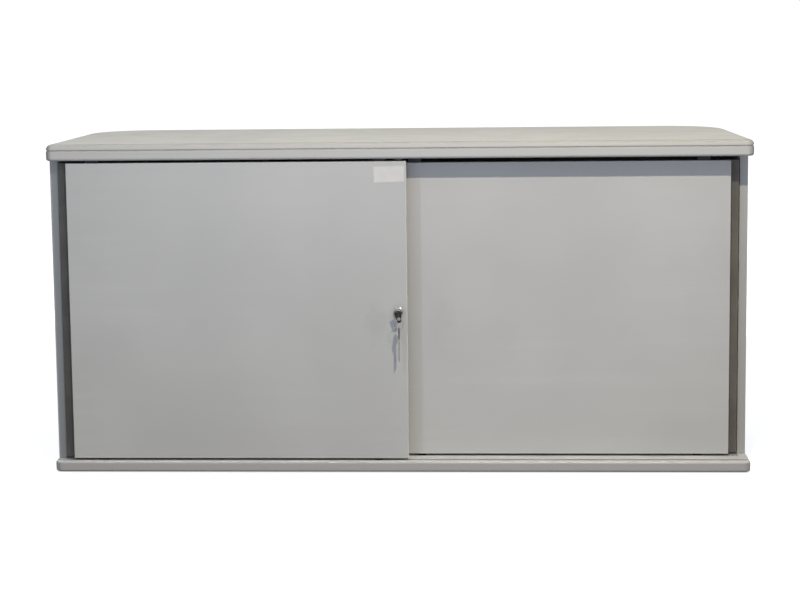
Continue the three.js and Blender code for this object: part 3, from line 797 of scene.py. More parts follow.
def carved(piece: Piece, cutters: Cutters) -> Piece:
    """Takes solids away from a piece.

    Args:
        piece: the piece.
        cutters: adds the solids to a mesh being built; they don't touch each other.

    Returns:
        The piece.
    """
    build = bmesh.new()
    cutters(build)
    tool = as_piece("cutter", build)
    boolean = piece.modifiers.new("cuts", "BOOLEAN")
    boolean.operation = "DIFFERENCE"
    boolean.solver = "EXACT"
    boolean.object = tool
    settled(piece)
    mesh = tool.data
    bpy.data.objects.remove(tool)
    bpy.data.meshes.remove(mesh)
    return piece


def finer_copy(name: str, node: str, radius: float, steps: int = 2) -> Piece:
    """A copy of a CAD node with its edges rounded.

    Args:
        name: the piece's name.
        node: the CAD node.
        radius: the radius on its edges.
        steps: facets in the rounding.

    Returns:
        The piece, shaded.
    """
    build = bmesh.new()
    build.from_mesh(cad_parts[node].data)
    bmesh.ops.remove_doubles(build, verts=build.verts, dist=HAIR)
    bmesh.ops.dissolve_limit(build, angle_limit=FLAT, verts=build.verts, edges=build.edges)
    return shaded(eased(as_piece(name, build), radius, steps))


def turned(name: str, profile: Sequence[Point], centre: Vector, steps: int = ROUND_STEPS) -> Piece:
    """A piece turned round an axis along Y.

    Args:
        name: the piece's name.
        profile: closed outline of [radius, place along Y].
        centre: a point on the axis.
        steps: facets round the axis.

    Returns:
        The piece, shaded.
    """
    build = bmesh.new()
    rings = []
    for step in range(steps):
        angle = 2 * math.pi * step / steps
        rings.append([
            build.verts.new((centre.x + r * math.sin(angle), y, centre.z + r * math.cos(angle)))
            for r, y in profile])
    for ring, following in zip(rings, rings[1:] + rings[:1]):
        for i, j in zip(range(len(profile)), [*range(1, len(profile)), 0]):
            if profile[i][0] > 0 or profile[j][0] > 0:
                build.faces.new((ring[i], ring[j], following[j], following[i]))
    bmesh.ops.remove_doubles(build, verts=build.verts, dist=HAIR)
    bmesh.ops.dissolve_degenerate(build, edges=build.edges, dist=HAIR)
    bmesh.ops.recalc_face_normals(build, faces=build.faces)
    return shaded(as_piece(name, build))


def rounded(points: Sequence[Point], radius: float) -> list[Point]:
    """Rounds the corners of a closed outline.

    Args:
        points: the outline's corners.
        radius: the radius at every corner, less where a side is too short for it.

    Returns:
        The rounded outline.
    """
    result: list[Point] = []
    count, room_share = len(points), 0.45
    for index, corner in enumerate(points):
        here = Vector(corner)
        back = Vector(points[index - 1]) - here
        ahead = Vector(points[(index + 1) % count]) - here
        half = back.angle(ahead) / 2
        if math.pi / 2 - half < STRAIGHT:
            result.append(corner)
            continue
        room = room_share * min(back.length, ahead.length)
        reach = min(radius / math.tan(half), room)
        size = reach * math.tan(half)
        middle = here + (back.normalized() + ahead.normalized()).normalized() * (size / math.sin(half))
        first = here + back.normalized() * reach - middle
        last = here + ahead.normalized() * reach - middle
        sweep = first.angle_signed(last)
        for step in range(CORNER_STEPS + 1):
            arm = first.copy()
            arm.rotate(Matrix.Rotation(-sweep * step / CORNER_STEPS, 2))
            result.append(tuple(middle + arm))
    return result


def plate(
    name: str, outlines: Sequence[Sequence[Point]], thickness: float, edge: float, place: Matrix
) -> Piece:
    """A flat plate with rounded edges, made in the XZ plane and then placed.

    Args:
        name: the piece's name.
        outlines: the outer outline and the holes, as [x, z].
        thickness: along Y, half of it on each side.
        edge: radius on its edges.
        place: where it goes.

    Returns:
        The piece, shaded.
    """
    curve = bpy.data.curves.new(name, "CURVE")
    curve.dimensions = "2D"
    curve.fill_mode = "BOTH"
    curve.extrude = thickness / 2 - edge
    curve.bevel_depth = edge
    curve.bevel_resolution = 2
    curve.offset = -edge
    for outline in outlines:
        spline = curve.splines.new("POLY")
        spline.points.add(len(outline) - 1)
        for point, (x, z) in zip(spline.points, outline):
            point.co = (x, z, 0.0, 1.0)
        spline.use_cyclic_u = True
    drawn = bpy.data.objects.new(name, curve)
    bpy.context.scene.collection.objects.link(drawn)
    graph = bpy.context.evaluated_depsgraph_get()
    mesh = bpy.data.meshes.new_from_object(drawn.evaluated_get(graph), depsgraph=graph)
    build = bmesh.new()
    build.from_mesh(mesh)
    bpy.data.objects.remove(drawn)
    bpy.data.curves.remove(curve)
    bpy.data.meshes.remove(mesh)
    bmesh.ops.remove_doubles(build, verts=build.verts, dist=HAIR)
    upright = Matrix.Rotation(math.pi / 2, 4, "X")
    bmesh.ops.transform(build, matrix=place @ upright, verts=build.verts)
    bmesh.ops.recalc_face_normals(build, faces=build.faces)
    return shaded(as_piece(name, build))


@dataclass(frozen=True)
class Plan:
    """The plan of the top, base and cover: a rectangle with two small and two large corners."""

    half_width: float
    front: float
    rear: float
    front_radius: float = 16 * MM
    rear_radius: float = 140 * MM
    corner_steps: int = 16

    def outline(self, inset: float) -> list[Point]:
        """The plan drawn in by an inset, with the same number of points at every inset."""
        quarter = math.pi / 2
        corners = (
            (1, self.front + self.front_radius, self.front_radius, -quarter),
            (1, self.rear - self.rear_radius, self.rear_radius, 0.0),
            (-1, self.rear - self.rear_radius, self.rear_radius, quarter),
            (-1, self.front + self.front_radius, self.front_radius, 2 * quarter),
        )
        points = []
        for side, y, radius, start in corners:
            for step in range(self.corner_steps + 1):
                angle = start + quarter * step / self.corner_steps
                reach = radius - inset
                points.append((
                    side * (self.half_width - radius) + reach * math.cos(angle), y + reach * math.sin(angle)))
        return points

    def board(self, name: str, levels: Sequence[Point]) -> Piece:
        """A board of this plan.

        Args:
            name: the piece's name.
            levels: [height, inset] from the bottom up.

        Returns:
            The piece, not yet shaded.
        """
        build = bmesh.new()
        rings = []
        for height, inset in levels:
            rings.append([build.verts.new((x, y, height)) for x, y in self.outline(inset)])
        build.faces.new(reversed(rings[0]))
        build.faces.new(rings[-1])
        for low, high in zip(rings, rings[1:]):
            for i, j in zip(range(len(low)), [*range(1, len(low)), 0]):
                build.faces.new((low[i], low[j], high[j], high[i]))
        return as_piece(name, build)


def arc(steps: int = EDGE_STEPS) -> list[float]:
    """The angles of a quarter turn."""
    return [math.pi / 2 * step / steps for step in range(steps + 1)]


def lower_edge(bottom: float, radius: float) -> list[Point]:
    """Heights and insets of a rounded lower edge, from the bottom up."""
    return [(bottom + radius * (1 - math.cos(a)), radius * (1 - math.sin(a))) for a in arc()]


def upper_edge(top: float, radius: float) -> list[Point]:
    """Heights and insets of a rounded upper edge, from the bottom up."""
    return [(top - radius * (1 - math.sin(a)), radius * (1 - math.cos(a))) for a in arc()]


class Rules:
    """Geometry node trees for what repeats or follows a rule."""

    strip_points = 97  # across a fluted strip
    turn_steps = 64  # facets in one turn of a coil
    wire_sides = 12

    def __init__(self) -> None:
        """Builds every tree once."""
        self.row = self._row()
        self.flutes = self._flutes()
        self.coil = self._coil()

    @staticmethod
    def _start(name: str, inputs: dict[str, Kind]) -> Group:
        """A geometry tree that takes and gives a shape and takes a finish."""
        sockets = {"Geometry": Kind.SHAPE, **inputs, "Finish": Kind.FINISH}
        return Group(name, "GeometryNodeTree", sockets, {"Geometry": Kind.SHAPE})

    @staticmethod
    def _end(group: Group, shape: Socket) -> Group:
        """Makes the instances real and gives them their finish."""
        real = group.node("GeometryNodeRealizeInstances", {0: shape})
        finish = {"Geometry": real.outputs[0], "Material": group.get("Finish")}
        group.give("Geometry", group.node("GeometryNodeSetMaterial", finish).outputs[0])
        return group

    def _row(self) -> Group:
        """A row of copies, every second one turned by Turn about the vertical, and all by up to Wander."""
        inputs = {"Count": Kind.WHOLE, "First": Kind.VECTOR, "Step": Kind.VECTOR, "Turn": Kind.NUMBER,
                  "Wander": Kind.NUMBER, "Seed": Kind.WHOLE}
        group = self._start("row_of_copies", inputs)
        line = group.node(
            "GeometryNodeMeshLine",
            {"Count": group.get("Count"), "Start Location": group.get("First"), "Offset": group.get("Step")},
            mode="OFFSET")
        index = group.node("GeometryNodeInputIndex").outputs[0]
        odd = group.math("MODULO", index, 2.0)
        low = group.math("MULTIPLY", group.get("Wander"), -1.0)
        random = group.node("FunctionNodeRandomValue", data_type="FLOAT")
        sockets = {socket.name: socket for socket in random.inputs if socket.enabled}
        for label, value in (("Min", low), ("Max", group.get("Wander")), ("Seed", group.get("Seed"))):
            group.tree.links.new(value, sockets[label])
        drawn = [socket for socket in random.outputs if socket.enabled][0]
        angle = group.math("ADD", group.math("MULTIPLY", odd, group.get("Turn")), drawn)
        turn = group.node("FunctionNodeEulerToRotation", {0: group.joined(Z=angle)}).outputs[0]
        copies = group.node(
            "GeometryNodeInstanceOnPoints",
            {"Points": line.outputs[0], "Instance": group.get("Geometry"), "Rotation": turn})
        return self._end(group, copies.outputs[0])

    def _flutes(self) -> Group:
        """An upright strip whose front face has round flutes side by side."""
        inputs = {"Size": Kind.VECTOR, "Middle": Kind.VECTOR, "Flutes": Kind.WHOLE, "Depth": Kind.NUMBER,
                  "Margin": Kind.NUMBER}
        group = self._start("fluted_strip", inputs)
        block = group.node("GeometryNodeMeshCube", {
            "Size": group.get("Size"), "Vertices X": self.strip_points, "Vertices Y": 2, "Vertices Z": 2})
        parts = group.parts(group.node("GeometryNodeInputPosition").outputs[0])
        size = group.parts(group.get("Size"))
        half = group.math("MULTIPLY", size[0], 0.5)
        room = group.math("SUBTRACT", half, group.get("Margin"))
        share = group.math("DIVIDE", parts[0], group.math("MULTIPLY", room, 2.0))
        turns = group.math("MULTIPLY", group.get("Flutes"), math.pi)
        phase = group.math("MULTIPLY", group.math("ADD", share, 0.5), turns)
        wave = group.math("ABSOLUTE", group.math("SINE", phase))
        inside = group.math("LESS_THAN", group.math("ABSOLUTE", parts[0]), room)
        front = group.math("LESS_THAN", parts[1], 0.0)
        fluted = group.math("MULTIPLY", inside, front)
        depth = group.math("MULTIPLY", group.math("MULTIPLY", wave, group.get("Depth")), fluted)
        offset = group.vector("ADD", group.joined(Y=depth), group.get("Middle"))
        moved = group.node("GeometryNodeSetPosition", {"Geometry": block.outputs[0], "Offset": offset})
        return self._end(group, moved.outputs[0])

    def _coil(self) -> Group:
        """A ring wound from round wire, flat turns beside each other, in the XY plane."""
        inputs = {"Radius": Kind.NUMBER, "Wire": Kind.NUMBER, "Turns": Kind.NUMBER, "Height": Kind.NUMBER}
        group = self._start("wound_ring", inputs)
        path = group.node("GeometryNodeCurveSpiral", {
            "Resolution": self.turn_steps, "Rotations": group.get("Turns"),
            "Start Radius": group.get("Radius"), "End Radius": group.get("Radius"),
            "Height": group.get("Height")})
        round_wire = {"Resolution": self.wire_sides, "Radius": group.get("Wire")}
        circle = group.node("GeometryNodeCurvePrimitiveCircle", round_wire)
        tube = group.node("GeometryNodeCurveToMesh", {
            "Curve": path.outputs[0], "Profile Curve": circle.outputs[0], "Fill Caps": True})
        down = group.joined(Z=group.math("MULTIPLY", group.get("Height"), -0.5))
        moved = group.node("GeometryNodeSetPosition", {"Geometry": tube.outputs[0], "Offset": down})
        return self._end(group, moved.outputs[0])


RULES = Rules()


def ruled(piece: Piece, group: Group, **inputs: object) -> Piece:
    """Runs a rule on a piece and keeps its result as the piece's mesh.

    Args:
        piece: the piece, whose mesh is the rule's input.
        group: the rule.
        inputs: its inputs by name, an underscore standing for a space.

    Returns:
        The piece.
    """
    modifier = piece.modifiers.new(group.tree.name, "NODES")
    modifier.node_group = group.tree
    keys = {item.name: item.identifier for item in group.tree.interface.items_tree if item.in_out == "INPUT"}
    for name, value in inputs.items():
        modifier[keys[name.replace("_", " ")]] = value
    return settled(piece)


def dressed(piece: Piece, body: Body, slot: Slot, finish: Finish, *nodes: str) -> None:
    """Gives a finished piece its finish and the body that it rides on.

    Args:
        piece: the piece.
        body: the body that carries it.
        slot: the record's material slot; not used.
        finish: its material.
        nodes: the CAD nodes that it stands for.
    """
    piece.data.materials.clear()
    piece.data.materials.append(finish)
    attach(piece, body.value)
    if nodes:
        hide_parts(*nodes)
    faces = len(piece.data.polygons)
    LOG.info("%s on %s, %d faces, stands for %s", piece.name, body.value, faces, nodes or "none")


def painted(node: str, finish: Finish) -> None:
    """Gives a CAD node that stays in view its finish."""
    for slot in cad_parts[node].material_slots:
        slot.material = finish
    LOG.info("%s keeps its CAD shape, with %s", node, finish.name)


@dataclass
class TopBoards:
    """The cover board and the top board with its two grooves."""

    cover_radius: float = 12 * MM
    joint_height: float = 1.9 * MM
    joint_depth: float = 2.2 * MM
    lower_radius: float = 6 * MM
    upper_radius: float = 1.2 * MM
    fit: float = 0.3 * MM

    def build(self, plan: Plan) -> None:
        """Makes both boards.

        Args:
            plan: their outline.
        """
        low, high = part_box("cover_top")
        joint = [(z, self.joint_depth) for z in (low.z, low.z + self.joint_height)]
        cover = shaded(plan.board("cover_board", joint + upper_edge(high.z, self.cover_radius)))
        finish = COVER_BOARD.material("cover_laminate", "cover_top", Axis.Z)
        dressed(cover, Body.CARCASS, Slot.COVER, finish, "cover_top")
        low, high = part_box("top_panel")
        levels = lower_edge(low.z, self.lower_radius) + upper_edge(high.z, self.upper_radius)
        board = carved(plan.board("top_board", levels), self._grooves)
        finish = TOP_BOARD.material("top_laminate", "top_panel", Axis.Z)
        dressed(shaded(board), Body.CARCASS, Slot.BOARD, finish, "top_panel")

    def _grooves(self, build: Build) -> None:
        """Adds the cutters for the channels."""
        for name in ("front_top_channel", "rear_top_channel"):
            low, high = grown(name, self.fit)
            add_block(build, (low.x, low.y, low.z - self.joint_height), high)


@dataclass
class BaseBoards:
    """The base board, its tracks and its glides."""

    lower_radius: float = 6 * MM
    upper_radius: float = 5 * MM
    fit: float = 0.3 * MM
    overrun: float = 9 * MM
    foot_radius: float = 20 * MM
    stem_radius: float = 4 * MM
    foot_height: float = 2.7 * MM
    foot_edge: float = 0.8 * MM
    glide_wander: float = 0.6
    glide_seed: int = 3

    def build(self, plan: Plan) -> None:
        """Makes the base.

        Args:
            plan: its outline.
        """
        low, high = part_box("base_panel")
        levels = lower_edge(low.z, self.lower_radius) + upper_edge(high.z, self.upper_radius)
        board = carved(plan.board("base_board", levels), self._cuts)
        finish = BASE_BOARD.material("base_laminate", "base_panel", Axis.Z)
        dressed(shaded(board), Body.CARCASS, Slot.BOARD, finish, "base_panel")
        track = TRACK_PLASTIC.material("track_extrusion")
        for name in ("front_bottom_track", "rear_bottom_track", "front_top_channel", "rear_top_channel"):
            painted(name, track)
        self._glides()

    def _cuts(self, build: Build) -> None:
        """Adds the cutters for the tracks and the stems of the glides."""
        for name, extra in (("front_bottom_track", self.overrun), ("rear_bottom_track", 0.0)):
            low, high = grown(name, self.fit + extra, self.fit, self.fit)
            add_block(build, low, (high.x, high.y, high.z + self.overrun))
        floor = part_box("base_panel")[0].z
        for name in GLIDES:
            x, y, _ = centre_of(name)
            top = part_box(name)[1].z + self.fit
            ends = [Vector((x, y, z)) for z in (floor - self.overrun, top)]
            add_bar(build, self.stem_radius + self.fit, *ends)

    def _glides(self) -> None:
        """Makes one glide and sets it four times by rule."""
        low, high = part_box(GLIDES[0])
        foot, top = low.z, low.z + self.foot_height
        r, edge, stem = self.foot_radius, self.foot_edge, self.stem_radius
        pad = [(0.0, foot), (r - edge, foot), (r, foot + edge), (r, top - edge / 2), (r - edge, top),
               (stem, top), (stem, high.z - edge), (stem - edge, high.z), (0.0, high.z)]
        glide = turned("glides", [(radius, -z) for radius, z in pad], Vector((0, 0, 0)))
        glide.data.transform(Matrix.Rotation(-math.pi / 2, 4, "X"))
        finish = KEY_PLASTIC.material("glide_plastic")
        left, right, rear = (centre_of(f"glide_{end}") for end in ("front_left", "front_right", "rear_left"))
        ruled(glide, RULES.row, Count=PAIR, First=Vector((left.x, left.y, 0)), Step=right - left,
              Wander=self.glide_wander, Seed=self.glide_seed, Finish=finish)
        ruled(glide, RULES.row, Count=PAIR, Step=rear - left, Finish=finish)
        dressed(shaded(glide), Body.CARCASS, Slot.BLACK_PLASTIC, finish, *GLIDES)


@dataclass
class Carcass:
    """The upright boards, the shelves and the pins under them."""

    edge_radius: float = 1.2 * MM
    fit: float = 0.3 * MM
    pin_radius: float = 2.5 * MM
    pin_edge: float = 0.4 * MM
    pin_steps: int = 28
    groove_room: float = 3.4 * MM

    def build(self) -> None:
        """Makes the inside and the sides."""
        for side in SIDES:
            self._board(f"{side}_side_board", f"side_panel_{side}", Axis.X, self._side_cuts)
        self._board("partition_board", "centre_partition", Axis.X, self._pin_holes)
        for side in SIDES:
            self._board(f"{side}_shelf_board", f"shelf_{side}", Axis.Z)
        self._board("back_board", "back_panel", Axis.Y)
        self._pins()

    def _board(self, name: str, node: str, thin: Axis, cuts: Cutters | None = None) -> None:
        """Makes one board from its node's box.

        Args:
            name: the piece's name.
            node: the CAD node that it stands for.
            thin: direction of its thickness.
            cuts: adds its cutters, or None.
        """
        board = boxed(name, node, self.edge_radius)
        if cuts:
            carved(board, cuts)
        finish = CARCASS_BOARD.material(f"{name}_laminate", node, thin)
        dressed(shaded(board), Body.CARCASS, Slot.BOARD, finish, node)

    def _side_cuts(self, build: Build) -> None:
        """Adds the cutters for the back and the pins."""
        add_block(build, *grown("back_panel", self.fit, self.fit, self.groove_room))
        self._pin_holes(build)

    def _pin_holes(self, build: Build) -> None:
        """Adds the cutters for the pins."""
        for node in PINS:
            _, y, z = centre_of(node)
            ends = [Vector((corner.x, y, z)) for corner in grown(node, self.fit)]
            add_bar(build, self.pin_radius + self.fit, *ends, sides=PIN_SIDES)

    def _pins(self) -> None:
        """Makes one pin and sets it eight times by rule."""
        low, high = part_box(PINS[0])
        half, edge, r = (high.x - low.x) / 2, self.pin_edge, self.pin_radius
        profile = [(0.0, -half), (r - edge, -half), (r, -half + edge), (r, half - edge), (r - edge, half),
                   (0.0, half)]
        pin = turned("shelf_pins", profile, Vector((0, 0, 0)), self.pin_steps)
        pin.data.transform(Matrix.Rotation(math.pi / 2, 4, "Z"))
        first, across, deep, over = (
            centre_of(f"shelf_pin_{place}")
            for place in ("left_outer_front", "left_inner_front", "left_outer_rear", "right_inner_front"))
        finish = DRAWN_STEEL.material("pin_steel", first)
        ruled(pin, RULES.row, Count=PAIR, Step=across - first, Turn=math.pi, Finish=finish)
        ruled(pin, RULES.row, Count=PAIR, Step=deep - first, Finish=finish)
        ruled(pin, RULES.row, Count=PAIR, First=first, Step=over - first, Finish=finish)
        dressed(shaded(pin), Body.CARCASS, Slot.STEEL, finish, *PINS)


@dataclass
class Door:
    """A sliding door: its panel, grip strip, rollers and guides."""

    name: str
    body: Body
    side: int  # of its grip strip, -1 left and 1 right
    hole_radius: float
    hole_depth: float
    marks: Sequence[Mark]
    edge_radius: float = 2.0 * MM
    edge_steps: int = 4
    fit: float = 0.3 * MM
    overrun: float = 3 * MM
    flutes: int = 6
    flute_depth: float = 0.7 * MM
    flute_margin: float = 1.0 * MM
    tongue_reach: float = 8 * MM
    fitting_edge: float = 0.5 * MM
    wheel_edge: float = 0.9 * MM
    rim_width: float = 1.8 * MM
    slope_width: float = 0.45 * MM
    dish_share: float = 0.7  # of half the wheel's width
    tread_depth: float = 0.3 * MM

    def build(self, lock: Vector) -> None:
        """Makes the door.

        Args:
            lock: a point on the lock's axis.
        """
        node = f"{self.name}_door_panel"
        board = boxed(f"{self.name}_door_board", node, self.edge_radius, self.edge_steps)
        carved(board, lambda cutters: self._cuts(cutters, lock))
        finish = DOOR_BOARD.material(f"{self.name}_door_laminate", node, Axis.Y, self.marks)
        dressed(shaded(board), self.body, Slot.DOOR, finish, node)
        self._strip()
        self._fittings()

    def _cuts(self, build: Build, lock: Vector) -> None:
        """Adds the cutters for the fittings, and for the lock or its strike.

        Args:
            build: the mesh being built.
            lock: a point on the lock's axis.
        """
        over = Vector((0, 0, self.overrun))
        for end in SIDES:
            low, high = grown(f"{self.name}_roller_housing_{end}", self.fit)
            add_block(build, low - over, high)
            low, high = grown(f"{self.name}_top_guide_{end}", self.fit)
            add_block(build, low, high + over)
        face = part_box(f"{self.name}_door_panel")[0].y
        ends = [Vector((lock.x, y, lock.z)) for y in (face - self.overrun, face + self.hole_depth)]
        add_bar(build, self.hole_radius + self.fit, *ends)

    def _strip(self) -> None:
        """Makes the fluted grip strip."""
        node = f"{self.name}_door_grip_strip"
        low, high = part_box(node)
        if self.side < 0:
            high.x -= self.tongue_reach + self.fit
        else:
            low.x += self.tongue_reach + self.fit
        finish = GRIP_PLASTIC.material(f"{self.name}_grip_plastic")
        strip = as_piece(f"{self.name}_grip_strip", bmesh.new())
        ruled(strip, RULES.flutes, Size=high - low, Middle=(low + high) / 2, Flutes=self.flutes,
              Depth=self.flute_depth, Margin=self.flute_margin, Finish=finish)
        dressed(shaded(strip), self.body, Slot.DARK_PLASTIC, finish, node)

    def _fittings(self) -> None:
        """Makes the rollers, with their housings, axles and the top guides."""
        nylon = DARK_NYLON.material(f"{self.name}_nylon")
        for end in SIDES:
            for node in (f"{self.name}_roller_housing_{end}", f"{self.name}_top_guide_{end}"):
                piece = finer_copy(f"{node}_moulding", node, self.fitting_edge)
                dressed(piece, self.body, Slot.NYLON, nylon, node)
            axle = f"{self.name}_roller_axle_{end}"
            painted(axle, TURNED_STEEL.material(f"{axle}_steel", centre_of(axle)))
            self._wheel(end, nylon)

    def _wheel(self, end: str, nylon: Finish) -> None:
        """Makes one roller with a crowned tread and a dished side.

        Args:
            end: left or right.
            nylon: its finish.
        """
        node = f"{self.name}_roller_{end}"
        low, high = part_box(node)
        radius, half = (high.z - low.z) / 2, (high.y - low.y) / 2
        low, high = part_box(f"{self.name}_roller_axle_{end}")
        bore = (high.z - low.z) / 2 + self.fit
        hub, rim = bore + self.rim_width, radius - self.rim_width - self.slope_width
        edge, slope, dish = self.wheel_edge, self.slope_width, half * self.dish_share
        side = [(bore, half), (hub, half), (hub + slope, dish), (rim - slope, dish), (rim, half),
                (radius - edge, half), (radius - self.tread_depth, half - edge / 2)]
        middle = centre_of(node)
        y = middle.y
        profile = [(r, y + d) for r, d in side] + [(radius, y)] + [(r, y - d) for r, d in reversed(side)]
        dressed(turned(f"{node}_wheel", profile, middle), Body(node), Slot.NYLON, nylon, node)


@dataclass
class Lock:
    """The push lock: sleeve with its rosette, push core, key plug and strike bush."""

    core_radius: float = 6.6 * MM
    core_length: float = 20 * MM
    plug_radius: float = 4.2 * MM
    bolt_radius: float = 3.0 * MM
    sleeve_wall: float = 1.5 * MM
    rosette_thickness: float = 2.4 * MM
    dome_share: float = 0.75  # of the rosette's thickness
    dome_steps: int = 8
    sleeve_edge: float = 0.35 * MM
    plug_edge: float = 0.2 * MM
    mouth_edge: float = 0.3 * MM
    core_edge: float = 0.9 * MM
    nose_steps: int = 6
    fit: float = 0.3 * MM
    bolt_room: float = 0.8 * MM
    strike_radius: float = 7.0 * MM
    strike_edge: float = 0.5 * MM
    collar_thickness: float = 2.0 * MM
    seat_gap: float = 0.2 * MM
    sleeve_depth: float = 22 * MM
    strike_depth: float = 12.3 * MM
    steps: int = 72

    def build(self) -> None:
        """Makes the lock."""
        centre = centre_of("lock_core")
        nickel = TURNED_NICKEL.material("lock_nickel", centre)
        self._housing(centre, nickel)
        self._core(centre, nickel)
        plug = finer_copy("lock_key_plug", "lock_plug", self.plug_edge)
        steel = TURNED_STEEL.material("plug_steel", centre)
        dressed(plug, Body.LOCK_PLUG, Slot.STEEL, steel, "lock_plug")
        self._strike(centre, steel)

    def _strike(self, centre: Vector, steel: Finish) -> None:
        """Makes the tube in the rear door that takes the bolt, with its collar.

        Args:
            centre: a point on the axis.
            steel: the finish.
        """
        low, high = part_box("strike_bush")
        collar, outer, bore = (high.x - low.x) / 2, self.strike_radius, self.bolt_radius + self.bolt_room
        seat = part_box("rear_door_panel")[0].y - self.seat_gap
        face, edge = seat - self.collar_thickness, self.strike_edge
        rim = [(bore, low.y + edge), (bore + edge, low.y), (outer - edge, low.y), (outer, low.y + edge),
               (outer, face), (collar - edge, face), (collar, face + edge), (collar, seat), (outer, seat),
               (outer, high.y), (bore, high.y)]
        strike = turned("strike_cup", rim, centre, self.steps)
        dressed(strike, Body.REAR_DOOR, Slot.STEEL, steel, "strike_bush")

    def _housing(self, centre: Vector, nickel: Finish) -> None:
        """Makes the sleeve and its domed rosette.

        Args:
            centre: a point on the axis.
            nickel: the finish.
        """
        low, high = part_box("lock_housing")
        rosette = (high.x - low.x) / 2
        bore = self.core_radius + self.fit
        sleeve = bore + self.sleeve_wall
        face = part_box("front_door_panel")[0].y
        seat, flange, edge = face - self.seat_gap, face - self.rosette_thickness, self.sleeve_edge
        reach, rise = rosette - sleeve, self.rosette_thickness * self.dome_share
        angles = arc(self.dome_steps)
        dome = [(sleeve + reach * math.sin(a), flange + rise * (1 - math.cos(a))) for a in angles]
        profile = [(bore, low.y + edge), (bore + edge, low.y), (sleeve - edge, low.y), (sleeve, low.y + edge),
                   *dome, (rosette, seat), (sleeve, seat), (sleeve, high.y), (bore, high.y)]
        housing = turned("lock_sleeve", profile, centre, self.steps)
        dressed(housing, Body.FRONT_DOOR, Slot.NICKEL, nickel, "lock_housing")

    def _core(self, centre: Vector, nickel: Finish) -> None:
        """Makes the push core with its bolt.

        Args:
            centre: a point on the axis.
            nickel: the finish.
        """
        low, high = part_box("lock_core")
        bore, floor = self.plug_radius + self.fit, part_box("lock_plug")[1].y + self.fit
        shoulder = low.y + self.core_length
        edge, mouth, bolt, outer = self.core_edge, self.mouth_edge, self.bolt_radius, self.core_radius
        angles = arc(self.nose_steps)
        nose = [(outer - edge * (1 - math.sin(a)), low.y + edge * (1 - math.cos(a))) for a in angles]
        profile = [(0.0, floor), (bore, floor), (bore, low.y + mouth), (bore + mouth, low.y), *nose,
                   (outer, shoulder), (bolt, shoulder), (bolt, high.y - edge), (bolt - edge, high.y),
                   (0.0, high.y)]
        core = turned("lock_push_core", profile, centre, self.steps)
        dressed(core, Body.LOCK_CORE, Slot.NICKEL, nickel, "lock_core")


